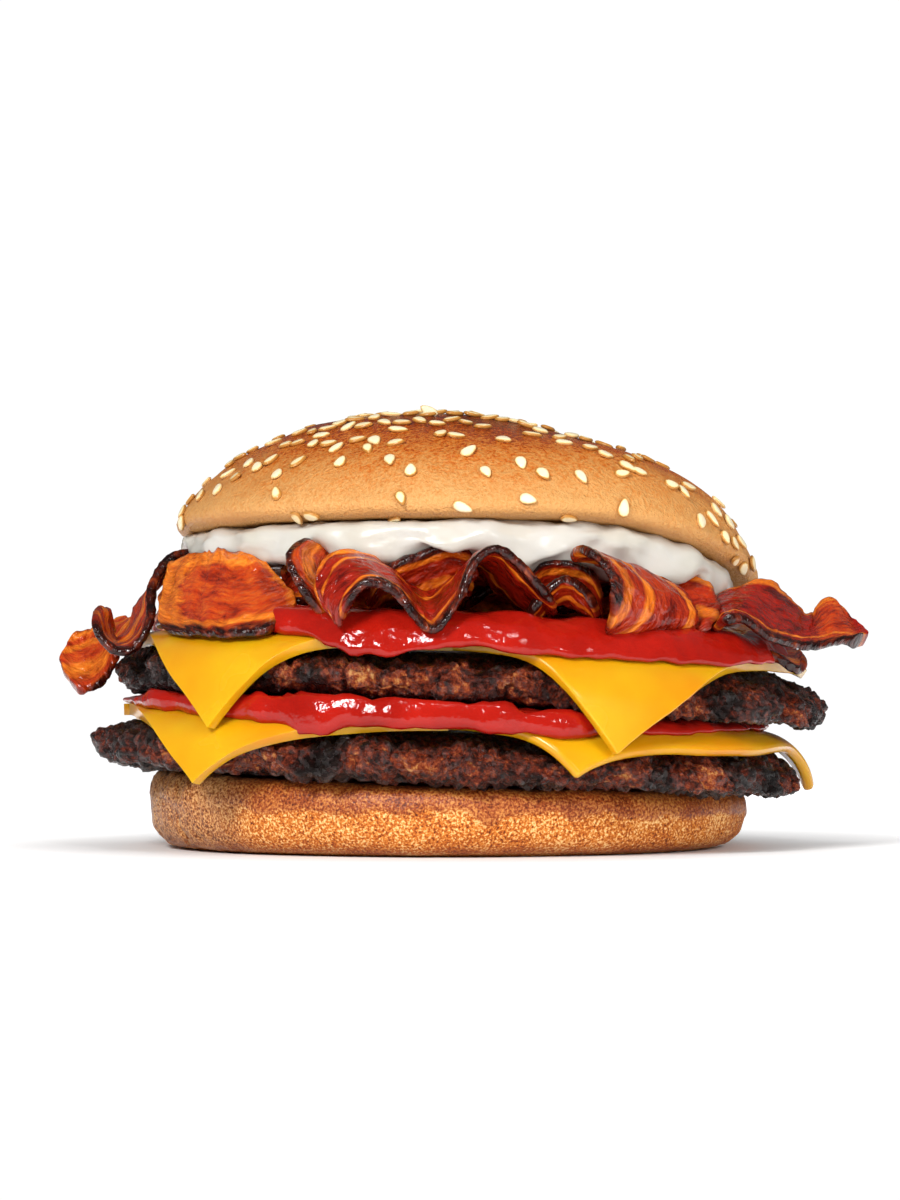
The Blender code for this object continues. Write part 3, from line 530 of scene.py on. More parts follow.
def slab(name, top, bottom):
    """A closed sheet between two grids of points, whose rows follow one another across its length."""
    rows, cols = top.shape[:2]
    index = np.arange(rows * cols).reshape(rows, cols)
    a, b, c, d = index[:-1, :-1], index[1:, :-1], index[1:, 1:], index[:-1, 1:]
    upper = np.stack([a, b, c, d], -1).reshape(-1, 4)
    lower = upper[:, ::-1] + rows * cols
    loop = np.concatenate([index[:-1, 0], index[-1, :-1], index[:0:-1, -1], index[0, :0:-1]])
    after = np.roll(loop, -1)
    side = np.stack([after, loop, loop + rows * cols, after + rows * cols], -1)
    points = np.concatenate([top.reshape(-1, 3), bottom.reshape(-1, 3)])
    return mesh_object(name, points.tolist(), np.concatenate([upper, lower, side]).tolist())


def mark(obj, name, values):
    """Stores one number for each vertex."""
    made = obj.data.attributes.new(name, "FLOAT", "POINT")
    made.data.foreach_set("value", np.ravel(values).astype(np.float32))


def points_and_normals(obj):
    """Every vertex's place and the direction that its surface faces there."""
    mesh = obj.data
    found = np.empty((2, len(mesh.vertices) * 3), np.float32)
    mesh.vertices.foreach_get("co", found[0])
    mesh.vertex_normals.foreach_get("vector", found[1])
    return found.reshape(2, -1, 3).astype(float)


def move_points(obj, points):
    obj.data.vertices.foreach_set("co", np.asarray(points, np.float32).ravel())
    obj.data.update()


def swell(obj, amount):
    """Moves each vertex out along its normal by its own amount."""
    points, normals = points_and_normals(obj)
    move_points(obj, points + normals * np.asarray(amount)[:, None])


def final_mesh(obj):
    """Puts the object's modifiers into its mesh."""
    bpy.context.view_layer.update()
    graph = bpy.context.evaluated_depsgraph_get()
    mesh = bpy.data.meshes.new_from_object(obj.evaluated_get(graph))
    obj.modifiers.clear()
    obj.data = mesh


def dress(obj, finish, slot, *nodes):
    """Gives a finished piece its material and its body, and hides the solids that it stands for. Its slot is
    not used.
    """
    obj.data.materials.clear()
    obj.data.materials.append(finish)
    obj.data.shade_smooth()
    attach(obj, "root")
    if nodes:
        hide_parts(*nodes)
    return obj


# Shapes that several pieces follow

def out_on_edge(share):
    """0 where the patty's edge begins and 1 at its rim."""
    return np.clip((share - PATTY_EDGE_START) / (1 - PATTY_EDGE_START), 0.0, 1.0)


def patty_edge(share):
    """How much of the patty's half thickness is left at a share of its radius."""
    return (1 - out_on_edge(share) ** PATTY_EDGE_FULLNESS) ** (1 / PATTY_EDGE_FULLNESS)


def patty_level(patty, x, share, angle):
    """Height of the patty's underside, before its edge is rounded. The rim hangs below the middle."""
    return patty["base"] + PILE_SLOPE * x - around(patty["droop"], angle) * MM * out_on_edge(share) ** 2


def patty_underside(patty, x, reach, angle):
    """Height of the patty's underside, with its rounded edge."""
    share = reach / (around(patty["radius"], angle) * MM)
    return patty_level(patty, x, share, angle) + PATTY_THICKNESS / 2 * (1 - patty_edge(share))


def cheese_top(patty, x, reach, angle):
    """Height of the top of the cheese that lies on the patty and bends down over its edge."""
    rim = around(patty["radius"], angle) * MM
    radius = BEND_RADIUS + CHEESE_THICKNESS
    over = np.clip(reach - BEND_START * rim, 0.0, radius)
    fall = radius - (radius**2 - over**2) ** 0.5
    return patty_level(patty, x, reach / rim, angle) + PATTY_THICKNESS + DRAPE_GAP + CHEESE_THICKNESS - fall


def crown_uneven(share, angle):
    """How much higher or lower the top bun's underside lies, because its rim is uneven."""
    return around(CROWN_UNEVENNESS, angle) * MM * ramp(share, *UNEVEN_ONSET)


def in_crown_frame(x, y, z):
    """Places given on the upright top bun, as they lie on the tilted one."""
    tilted = np.array(CROWN_FRAME)
    points = np.stack([x, y, z], -1) @ tilted[:3, :3].T + tilted[:3, 3]
    return points[..., 0], points[..., 1], points[..., 2]


# Settings

def a_size(name, description, default, low, high):
    """A length that a user may change, from values in millimetres."""
    return FloatProperty(name=name, description=description, default=default * MM, min=low * MM,
                         max=high * MM, unit="LENGTH", precision=5)


def a_colour(name, description, default):
    """A colour that a user may change, from sRGB hex."""
    return FloatVectorProperty(name=name, description=description, default=linear(default), min=0, max=1,
                               size=4, subtype="COLOR")


class BunSettings(bpy.types.PropertyGroup):
    """What a user may change on the two bun halves."""

    pore_size: a_size("Pore size", "Size of the fine pores in the crust", 0.65, 0.2, 4)
    pale: a_colour("Pale crust", "Crust low on the sides", "#c8823e")
    golden: a_colour("Golden crust", "Crust half-way up", "#a23e0a")
    dark: a_colour("Dark crust", "Crust on the top", "#4e1c0a")


class SeedSettings(bpy.types.PropertyGroup):
    """What a user may change on the sesame seeds."""

    count: IntProperty(name="Seeds", description="How many seeds lie on the top bun", default=230, min=1,
                       max=600)
    length: a_size("Length", "Length of a seed", 3.7, 1, 8)
    width: a_size("Width", "Width of a seed", 2.15, 0.5, 6)
    thickness: a_size("Thickness", "Thickness of a seed", 1.1, 0.3, 3)
    hull: a_colour("Seed", "Colour of a seed's face", "#ecd6a2")


class MeatSettings(bpy.types.PropertyGroup):
    """What a user may change on the patties and the bacon."""

    mince_size: a_size("Mince size", "Size of the lumps of ground beef", 3.2, 1, 10)
    seared: a_colour("Seared beef", "Brown of the beef between the charred places", "#5c2416")
    lean: a_colour("Lean bacon", "Red of the bacon's lean meat", "#84150b")
    fat: a_colour("Bacon fat", "Orange of the bacon's crisp fat", "#d26a18")


class CheeseSettings(bpy.types.PropertyGroup):
    """What a user may change on the cheese slices."""

    edge_round: a_size("Edge rounding", "Radius of the slices' melted edges", 0.9, 0.1, 1.05)
    yellow: a_colour("Cheese", "Colour of the melted cheese", "#cf9e0c")


class SauceSettings(bpy.types.PropertyGroup):
    """What a user may change on the ketchup and the mayonnaise."""

    lump: a_size("Edge waves", "How far the ketchup's edge swings in and out", 1.3, 0, 4)
    red: a_colour("Ketchup", "Colour of the ketchup", "#a4180d")
    white: a_colour("Mayonnaise", "Colour of the mayonnaise", "#c5c2bb")


class StageSettings(bpy.types.PropertyGroup):
    """What a user may change on the floor and the light."""

    floor: a_colour("Floor", "Colour of the floor", "#f4f4f4")
    key_power: FloatProperty(name="Key light", description="Power of the big light at the front left",
                             default=11.2, min=0, unit="POWER")


# Materials

def add(tree, kind, sockets=(), out=0, stops=(), **settings):
    """Adds a node with its settings, its ramp's stops and its inputs' values or links, and returns an output.

    A kind without "Node" in it is a shader node's. A stop is a place and a colour, as hex or linear values.
    """
    made = tree.nodes.new(kind if "Node" in kind else "ShaderNode" + kind)
    for name, value in settings.items():
        setattr(made, name, value)
    if stops:
        elements = made.color_ramp.elements
        elements.remove(elements[1])
        elements[0].position = stops[0][0]
        for index, (place, colour) in enumerate(stops):
            stop = elements.new(place) if index else elements[0]
            stop.color = linear(colour) if isinstance(colour, str) else tuple(colour)
    for key, value in dict(sockets).items():
        set_socket(tree, made.inputs[key], value)
    return made.outputs[out] if len(made.outputs) else made


def set_socket(tree, socket, value):
    """Links an output to an input, or gives the input a value."""
    if isinstance(value, bpy.types.NodeSocket):
        tree.links.new(value, socket)
    else:
        socket.default_value = value


def new_material(name, coordinates="TexCoord", out="Object", **settings):
    """A material, its tree, and the coordinates that its patterns lie on."""
    made = bpy.data.materials.new(name)
    made.use_nodes = True
    return made, made.node_tree, add(made.node_tree, coordinates, out=out, **settings)


def toned(colour, *shares):
    """A colour with its red, green and blue scaled."""
    return (*(part * share for part, share in zip(colour, shares)), 1.0)


def set_shader(tree, **sockets):
    """Sets the shader's inputs. An underscore stands for a space in an input's name."""
    shader = tree.nodes["Principled BSDF"]
    for key, value in sockets.items():
        set_socket(tree, shader.inputs[key.replace("_", " ")], value)


def per(size):
    """A texture's scale for features of a size in metres."""
    return 1.0 / size


def toasted_crust(settings):
    """Baked bread crust with a little egg glaze: matt and finely pored low down, darker and glossier on top.

    Real pores are about 0.3 mm across. They are drawn twice as coarse, so that they show.
    """
    made, tree, at = new_material("toasted_crust")
    bake = add(tree, "Attribute", attribute_name="bake", out="Fac")
    blotch = add(tree, "TexNoise", {"Vector": at, "Scale": per(14 * MM), "Detail": 3.0})
    pore = add(tree, "TexNoise", {"Vector": at, "Scale": per(settings.pore_size), "Detail": 3.0,
                                   "Roughness": 0.65})
    freckle = add(tree, "TexNoise", {"Vector": at, "Scale": per(2.2 * MM), "Detail": 2.0})
    shift = add(tree, "Math", {0: blotch, 1: 0.22, 2: -0.11}, operation="MULTIPLY_ADD")
    fine = add(tree, "MapRange", {"Value": pore, 1: 0.36, 2: 0.64, 3: 0.17, 4: -0.17})
    freckles = add(tree, "Math", {0: freckle, 1: 0.34, 2: -0.17}, operation="MULTIPLY_ADD")
    place = bake
    for part in (shift, fine, freckles):
        place = add(tree, "Math", {0: place, 1: part}, operation="ADD")
    colour = add(tree, "ValToRGB", {0: place}, stops=(
        (0.05, "#d09858"), (0.36, settings.pale), (0.54, "#c0661c"),
        (0.70, settings.golden), (0.84, "#7c2c0c"), (1.0, settings.dark),
    ))
    gloss = add(tree, "MapRange", {"Value": place, 1: 0.3, 2: 0.75, 3: 0.42, 4: 0.2})
    bump = add(tree, "Bump", {"Height": pore, "Strength": 1.0, "Distance": 0.5 * MM})
    bump = add(tree, "Bump", {"Height": freckle, "Strength": 0.4, "Distance": 0.5 * MM, "Normal": bump})
    set_shader(tree, Base_Color=colour, Roughness=gloss, Normal=bump, IOR=1.45, Specular_IOR_Level=0.36)
    return made


def griddled_crust(settings):
    """Bread crust browned on a griddle: sandy and matt, with a greasy brown band under the cut face.

    Its crumbs are about 0.3 mm across and are drawn a little coarser, so that they show.
    """
    made, tree, at = new_material("griddled_crust")
    band, bark, low = (
        add(tree, "Attribute", attribute_name=name, out="Fac") for name in ("grease", "bark", "low")
    )
    sand = add(tree, "TexNoise", {"Vector": at, "Scale": per(0.48 * MM), "Detail": 2.0, "Roughness": 0.7})
    grit = add(tree, "TexVoronoi", {"Vector": at, "Scale": per(0.7 * MM)})
    blotch = add(tree, "TexNoise", {"Vector": at, "Scale": per(9 * MM), "Detail": 3.0})
    mixed = add(tree, "Math", {0: blotch, 1: 0.35, 2: 0.0}, operation="MULTIPLY_ADD")
    mixed = add(tree, "Math", {0: sand, 1: 1.15, 2: mixed}, operation="MULTIPLY_ADD")
    crust = add(tree, "ValToRGB", {0: mixed}, stops=(
        (0.54, "#4c1e06"), (0.64, "#9c4610"), (0.73, "#c2661a"),
        (0.81, "#d2822c"), (0.92, "#f2ca88"),
    ))
    greased = add(tree, "ValToRGB", {0: mixed}, stops=(
        (0.54, "#54200a"), (0.72, "#944016"), (0.94, "#cc8440"),
    ))
    barky = add(tree, "ValToRGB", {0: mixed}, stops=(
        (0.56, "#4c200c"), (0.70, "#a05a28"), (0.90, "#dca468"),
    ))
    for share, over in ((band, greased), (bark, barky), (low, linear("#7c3714"))):
        crust = add(tree, "Mix", {0: share, 6: crust, 7: over}, out=2, data_type="RGBA")
    shine = add(tree, "Math", {0: band, 1: bark}, operation="MAXIMUM")
    gloss = add(tree, "MapRange", {"Value": shine, 1: 0.0, 2: 1.0, 3: 0.62, 4: 0.34})
    bump = add(tree, "Bump", {"Height": sand, "Strength": 0.5, "Distance": 0.35 * MM})
    bump = add(tree, "Bump", {"Height": grit, "Strength": 0.3, "Distance": 0.3 * MM, "Normal": bump})
    set_shader(tree, Base_Color=crust, Roughness=gloss, Normal=bump, IOR=1.45, Specular_IOR_Level=0.35)
    return made


def grilled_beef(settings):
    """Flame-grilled ground beef: black char on what stands out, red-brown meat between, wet with fat, and
    painted shade that darkens the creases.

    The crumb is as coarse as ground beef, 1 to 2 mm, and the juice stands in drops of about that size.
    """
    made, tree, at = new_material("grilled_beef")
    # This attribute holds how charred the beef is, and a painted shade that darkens the creases.
    char_and_crease_shade = add(tree, "Attribute", attribute_name="char_and_crease_shade", out="Fac")
    patch = add(tree, "TexNoise", {"Vector": at, "Scale": per(8 * MM), "Detail": 3.0, "Roughness": 0.6})
    crumb = add(tree, "TexNoise", {"Vector": at, "Scale": per(1.2 * MM), "Detail": 5.0, "Roughness": 0.75})
    place = add(tree, "Math", {0: char_and_crease_shade, 1: 0.26, 2: -0.16}, operation="MULTIPLY_ADD")
    place = add(tree, "Math", {0: patch, 1: 0.60, 2: place}, operation="MULTIPLY_ADD")
    place = add(tree, "Math", {0: crumb, 1: 1.10, 2: place}, operation="MULTIPLY_ADD")
    colour = add(tree, "ValToRGB", {0: place}, stops=(
        (0.55, "#d49a58"), (0.64, "#b05c30"), (0.72, "#883620"), (0.80, settings.seared),
        (0.89, "#30100a"), (0.99, "#100503"),
    ))
    wet = add(tree, "TexNoise", {"Vector": at, "Scale": per(1.6 * MM), "Detail": 2.0})
    gloss = add(tree, "MapRange", {"Value": wet, 1: 0.44, 2: 0.60, 3: 0.07, 4: 0.45})
    juice = add(tree, "MapRange", {"Value": wet, 1: 0.52, 2: 0.58, 3: 0.0, 4: 0.9})
    bump = add(tree, "Bump", {"Height": crumb, "Strength": 1.0, "Distance": 1.6 * MM})
    grain = add(tree, "TexNoise", {"Vector": at, "Scale": per(0.9 * MM), "Detail": 3.0, "Roughness": 0.6})
    skin = add(tree, "Bump", {"Height": grain, "Strength": 1.0, "Distance": 0.8 * MM, "Normal": bump})
    set_shader(tree, Base_Color=colour, Roughness=gloss, Normal=bump, IOR=1.45, Specular_IOR_Level=0.36,
               Coat_Weight=juice, Coat_Roughness=0.05, Coat_Normal=skin)
    return made


def melted_cheese(settings):
    """Processed cheese that has softened: waxy, a little translucent, with a smooth satin skin."""
    made, tree, at = new_material("melted_cheese")
    cloud = add(tree, "TexNoise", {"Vector": at, "Scale": per(16 * MM), "Detail": 2.0})
    speck = add(tree, "TexNoise", {"Vector": at, "Scale": per(0.8 * MM), "Detail": 2.0})
    colour = add(tree, "ValToRGB", {0: cloud}, stops=(
        (0.28, toned(settings.yellow, 1.0, 0.7, 0.8)), (0.72, settings.yellow),
    ))
    gloss = add(tree, "MapRange", {"Value": cloud, 1: 0.3, 2: 0.7, 3: 0.17, 4: 0.28})
    bump = add(tree, "Bump", {"Height": speck, "Strength": 0.08, "Distance": 0.15 * MM})
    set_shader(tree, Base_Color=colour, Roughness=gloss, Normal=bump, IOR=1.46, Subsurface_Weight=0.35,
               Subsurface_Radius=(0.006, 0.0032, 0.0006), Subsurface_Scale=0.8)
    return made


def wet_ketchup(settings):
    """Tomato ketchup: deep red, thick and wet, with sharp highlights."""
    made, tree, at = new_material("ketchup")
    cloud = add(tree, "TexNoise", {"Vector": at, "Scale": per(9 * MM), "Detail": 3.0})
    ripple = add(tree, "TexNoise", {"Vector": at, "Scale": per(2.4 * MM), "Detail": 3.0})
    colour = add(tree, "ValToRGB", {0: cloud}, stops=(
        (0.32, toned(settings.red, 0.72, 0.6, 0.6)), (0.66, settings.red),
    ))
    bump = add(tree, "Bump", {"Height": ripple, "Strength": 0.45, "Distance": 0.7 * MM})
    set_shader(tree, Base_Color=colour, Roughness=0.1, Normal=bump, IOR=1.4, Subsurface_Weight=0.08,
               Subsurface_Radius=(0.003, 0.0006, 0.0004), Subsurface_Scale=0.5)
    return made


def smooth_mayonnaise(settings):
    """Mayonnaise: opaque, creamy off-white, smooth and shiny."""
    made, tree, at = new_material("mayonnaise")
    cloud = add(tree, "TexNoise", {"Vector": at, "Scale": per(11 * MM), "Detail": 3.0})
    colour = add(tree, "ValToRGB", {0: cloud}, stops=(
        (0.3, toned(settings.white, 0.93, 0.91, 0.84)), (0.7, settings.white),
    ))
    bump = add(tree, "Bump", {"Height": cloud, "Strength": 0.25, "Distance": 0.8 * MM})
    set_shader(tree, Base_Color=colour, Roughness=0.24, Normal=bump, IOR=1.47, Subsurface_Weight=0.1,
               Subsurface_Radius=(0.002, 0.0017, 0.0012), Subsurface_Scale=0.6)
    return made


def fried_bacon(settings):
    """Fried streaky bacon: near-black crisp rind, lean red meat and amber fat in streaks along the strip.

    Muscle fibres are about 0.5 mm wide. They are drawn twice as coarse, so that they show.
    """
    made, tree, strip = new_material("fried_bacon", "UVMap", 0, uv_map="strip")
    fat, rind, crisp, warmth = (
        add(tree, "Attribute", attribute_name=name, out="Fac") for name in ("fat", "rind", "crisp", "warmth")
    )
    stretched = add(tree, "Mapping", {"Vector": strip, "Scale": (per(8 * MM), per(5 * MM), 1.0)})
    marble = add(tree, "TexNoise", {"Vector": stretched, "Scale": 1.0, "Detail": 4.0, "Roughness": 0.6,
                                     "Distortion": 0.6})
    fibre_at = add(tree, "Mapping", {"Vector": strip, "Scale": (per(3 * MM), per(1.1 * MM), 1.0)})
    fibre = add(tree, "TexNoise", {"Vector": fibre_at, "Scale": 1.0, "Detail": 3.0})
    vein = add(tree, "MapRange", {"Value": marble, 1: 0.60, 2: 0.70, 3: 0.0, 4: 0.3})
    streak = add(tree, "Math", {0: fat, 1: vein}, operation="ADD")
    streak = add(tree, "Math", {0: fibre, 1: 0.4, 2: streak}, operation="MULTIPLY_ADD")
    mask = add(tree, "MapRange", {"Value": streak, 1: 0.50, 2: 0.95, 3: 0.0, 4: 1.0})
    shade = add(tree, "Math", {0: marble, 1: 0.6}, operation="MULTIPLY")
    shade = add(tree, "Math", {0: fibre, 1: 0.4, 2: shade}, operation="MULTIPLY_ADD")
    colour = add(tree, "ValToRGB", {0: shade}, stops=(
        (0.38, toned(settings.lean, 0.35, 0.3, 0.3)), (0.48, settings.lean),
        (0.60, toned(settings.lean, 1.5, 1.5, 1.1)), (0.72, toned(settings.lean, 2.0, 3.0, 2.0)),
    ))
    warmer = add(tree, "ValToRGB", {0: shade}, stops=(
        (0.38, "#86200a"), (0.49, "#b83a10"), (0.60, "#cc5616"), (0.72, "#dc8a40"),
    ))
    fatty = add(tree, "ValToRGB", {0: shade}, stops=(
        (0.38, toned(settings.fat, 0.62, 0.45, 0.5)), (0.50, settings.fat),
        (0.62, toned(settings.fat, 1.35, 1.7, 2.4)),
    ))
    black = add(tree, "ValToRGB", {0: fibre}, stops=(
        (0.36, "#140504"), (0.50, "#300b06"), (0.62, "#5e1d0c"), (0.74, "#94441e"),
    ))
    for share, over in ((warmth, warmer), (mask, fatty), (crisp, linear("#5a160c")), (rind, black)):
        colour = add(tree, "Mix", {0: share, 6: colour, 7: over}, out=2, data_type="RGBA")
    gloss = add(tree, "MapRange", {"Value": marble, 1: 0.35, 2: 0.65, 3: 0.09, 4: 0.24})
    pimple_at = add(tree, "Mapping", {"Vector": strip, "Scale": (per(1.6 * MM), per(1.2 * MM), 1.0)})
    pimple = add(tree, "TexNoise", {"Vector": pimple_at, "Scale": 1.0, "Detail": 2.0})
    bump = add(tree, "Bump", {"Height": fibre, "Strength": 0.4, "Distance": 0.3 * MM})
    bump = add(tree, "Bump", {"Height": pimple, "Strength": 0.7, "Distance": 1.0 * MM, "Normal": bump})
    set_shader(tree, Base_Color=colour, Roughness=gloss, Normal=bump, IOR=1.45, Specular_IOR_Level=0.42,
               Subsurface_Weight=0.15, Subsurface_Radius=(0.004, 0.001, 0.0004), Subsurface_Scale=0.6)
    return made


def sesame_hull(settings):
    """Hulled sesame: ivory, with an amber rim where it has toasted, and a slight oily sheen."""
    made, tree, at = new_material("sesame_hull")
    rim, tone = (add(tree, "Attribute", attribute_name=name, out="Fac") for name in ("rim", "tone"))
    fleck = add(tree, "TexNoise", {"Vector": at, "Scale": per(0.9 * MM), "Detail": 2.0})
    place = add(tree, "Math", {0: tone, 1: 0.5, 2: rim}, operation="MULTIPLY_ADD")
    place = add(tree, "Math", {0: fleck, 1: 0.3, 2: place}, operation="MULTIPLY_ADD")
    colour = add(tree, "ValToRGB", {0: place}, stops=(
        (0.35, "#f0e0bc"), (0.74, settings.hull), (0.95, "#d2a058"), (1.0, "#b47a34"),
    ))
    bump = add(tree, "Bump", {"Height": fleck, "Strength": 0.2, "Distance": 0.15 * MM})
    set_shader(tree, Base_Color=colour, Roughness=0.28, Normal=bump, IOR=1.47)
    return made


# Pieces

def build_bottom_bun(settings):
    """The bottom bun, with its greasy band, barky end and crack."""
    profile = rounded(HEEL_PROFILE, HEEL_RADIUS, HEEL_HEIGHT, 0.6 * MM)

    def place(share, height, angle):
        wave = sum(size * np.sin(count * angle + start) for count, start, size in HEEL_WAVES)
        reach = share * (HEEL_RADIUS + wave * height * share)
        x = reach * np.cos(angle)
        return x, reach * np.sin(angle), height * (HEEL_HEIGHT + PILE_SLOPE * x)

    obj, (share, height, angle) = turned("bottom_bun", profile, RIM_POINTS["bottom_bun"], place)
    points, _ = points_and_normals(obj)
    side = ramp(share, *HEEL_SIDE)
    edge = GREASE_LINE + GREASE_SWING * rough(points * (1, 1, 0), 7 * MM, 1.0, 2)
    grease = ramp(height, edge - 0.03, edge + 0.03) * side
    bark = ramp(np.cos(angle - BARK_HEADING), 0.84, 0.95)
    smear = ramp(np.cos(angle - SMEAR_HEADING), 0.90, 0.98)
    ribs = rough(points * (1, 1, 0.18), 1.5 * MM, 2.0, 2)
    crack = bell((angle - CRACK_HEADING) * HEEL_RADIUS / CRACK_WIDTH + 1.2 * ribs)
    amount = (
        HEEL_SWELL * rough(points, 13 * MM, 3.0, 2)
        + GREASE_DEPTH * grease
        + BARK_DEPTH * bark * ribs
        + SMEAR_DEPTH * smear * ribs
        - CRACK_DEPTH * crack
    ) * side
    swell(obj, amount)
    mark(obj, "grease", grease)
    mark(obj, "bark", np.maximum(bark, crack) * side)
    mark(obj, "low", 0.8 * ramp(height, 0.22, 0.02) * side)
    dress(obj, griddled_crust(settings), "toasted_crust", "bun_heel")


def build_patty(name, node, size, seed, settings, finish):
    """A patty with crags at its rim, lumps of mince on its edge, and charred ends."""
    out = np.linspace(pi / 2, -pi / 2, 72)
    power = 2 / PATTY_EDGE_FULLNESS
    share = PATTY_EDGE_START + (1 - PATTY_EDGE_START) * np.cos(out) ** power
    edge = np.stack([share, np.sign(np.sin(out)) * np.abs(np.sin(out)) ** power], 1)
    inner = np.array(((0.0, 1.0), (0.15, 1.0), (0.4, 1.0), (0.6, 1.0), (0.68, 1.0)))
    profile = np.concatenate([inner, edge, inner[::-1] * (1, -1)])

    def place(share, height, angle):
        radius = around(size["radius"], angle) * MM
        rim = np.stack([np.cos(angle) * radius, np.sin(angle) * radius, CRAG_SIZE * height], -1)
        rim[..., 0] += seed * CRAG_SIZE
        worn = np.clip(0.5 + rough(rim, CRAG_SIZE), 0.0, 1.0)
        crag = CRAG_DEPTH * ramp(share, *CRAG_ONSET) * worn
        reach = share * radius - crag
        x = reach * np.cos(angle)
        middle = patty_level(size, x, share, angle) + PATTY_THICKNESS / 2
        return x, reach * np.sin(angle), middle + (PATTY_THICKNESS / 2 - CRAG_THINNING * crag) * height

    obj, (share, height, angle) = turned(name, profile, RIM_POINTS["patty"], place)
    points, _ = points_and_normals(obj)
    mince = lumps(points, settings.mince_size, seed)
    fine = lumps(points, 0.5 * settings.mince_size, seed + 3)
    wide = rough(points, 11 * MM, seed + 1, 2)
    end = np.maximum(ramp(np.cos(angle - LEFT_END), 0.82, 0.96), ramp(np.cos(angle - RIGHT_END), 0.88, 0.98))
    ribs = np.abs(rough(points * (1, 1, 0.3), 4.2 * MM, seed + 2, 1))
    crease = bell(rough(points * (1, 1, 0.5), 13 * MM, seed + 5, 2) / 0.05)
    amount = (
        LUMP_RELIEF * (mince - 0.75) * (1 - 0.5 * end)
        + CRUMB_RELIEF * (fine - 0.65)
        + WAVE_RELIEF * wide
        + RIB_RELIEF * end * (0.25 - ribs)
        - CREASE_RELIEF * crease
    ) * MM
    most = (FACE_LIMIT + EDGE_LIMIT * (np.abs(height) < 0.97)) * MM
    swell(obj, np.minimum(amount, most) * ramp(share, 0.74, 0.84))
    burnt = ramp(rough(points * (1, 1, 0.6), 12 * MM, seed + 7, 2), 0.12, 0.42)
    # How charred the beef is, plus painted shade: the crease term darkens the creases.
    char_and_crease_shade = (
        0.42
        + 0.40 * np.abs(height) ** 3
        + 0.30 * end
        + 0.35 * (mince - 0.6)
        + 0.20 * wide
        + 0.60 * burnt
        + 0.4 * crease
    )
    mark(obj, "char_and_crease_shade", char_and_crease_shade)
    dress(obj, finish, "grilled_beef", node)


def drape(name, flat_x, flat_y):
    """Where points of the flat slice's underside lie once the slice has sunk over the patty's edge."""
    size, corner, heading, drip = CHEESE_SLICES[name]
    heading = radians(heading)
    x, y = flat_x - corner[0] * MM, flat_y - corner[1] * MM
    u = (x * cos(heading) + y * sin(heading)) / SLICE_SIDE
    v = (y * cos(heading) - x * sin(heading)) / SLICE_SIDE
    first, second = (wide * MM for wide in CHEESE_SPREAD.get(name, (0.0, 0.0)))
    first = first * np.sin(pi * np.clip(u, 0, 1)) ** 1.5 * np.clip(1 - v, 0, 1) ** 2
    second = second * np.sin(pi * np.clip(v, 0, 1)) ** 1.5 * np.clip(1 - u, 0, 1) ** 2
    over_next = 0.06 * np.maximum(first, second)
    flat_x = flat_x + first * sin(heading) - second * cos(heading)
    flat_y = flat_y - first * cos(heading) - second * sin(heading)
    hang = drip * MM * (ramp(u, DRIP_START, 1.0) * ramp(1 - v, DRIP_START, 1.0)) ** 2
    flat, angle = np.hypot(flat_x, flat_y), np.arctan2(flat_y, flat_x)
    rim = around(size["radius"], angle) * MM
    if name == FLAT_AT_RIGHT:
        flat = flat - FLATTENING * np.maximum(flat - BEND_START * rim, 0.0) * ramp(np.cos(angle), 0.82, 0.94)
    over = np.maximum(flat + hang - BEND_START * rim, 0.0)
    bend = np.minimum(over / BEND_RADIUS, BEND_LIMIT)
    straight = over - bend * BEND_RADIUS
    reach = np.where(over > 0, BEND_START * rim + BEND_RADIUS * np.sin(bend) + straight * np.cos(bend), flat)
    fall = BEND_RADIUS * (1 - np.cos(bend)) + straight * np.sin(bend)
    x, y = reach * np.cos(angle), reach * np.sin(angle)
    return x, y, patty_level(size, x, reach / rim, angle) + PATTY_THICKNESS + DRAPE_GAP - fall + over_next


def slice_corners(name, margin):
    """The flat slice's corner, its two edge directions and its side, with the slice grown by a margin."""
    _, corner, heading, _ = CHEESE_SLICES[name]
    first = Vector((cos(radians(heading)), sin(radians(heading)), 0.0))
    second = Vector((-first.y, first.x, 0.0))
    start = Vector((corner[0] * MM, corner[1] * MM, 0.0)) - margin * (first + second)
    return start, first, second, SLICE_SIDE + 2 * margin


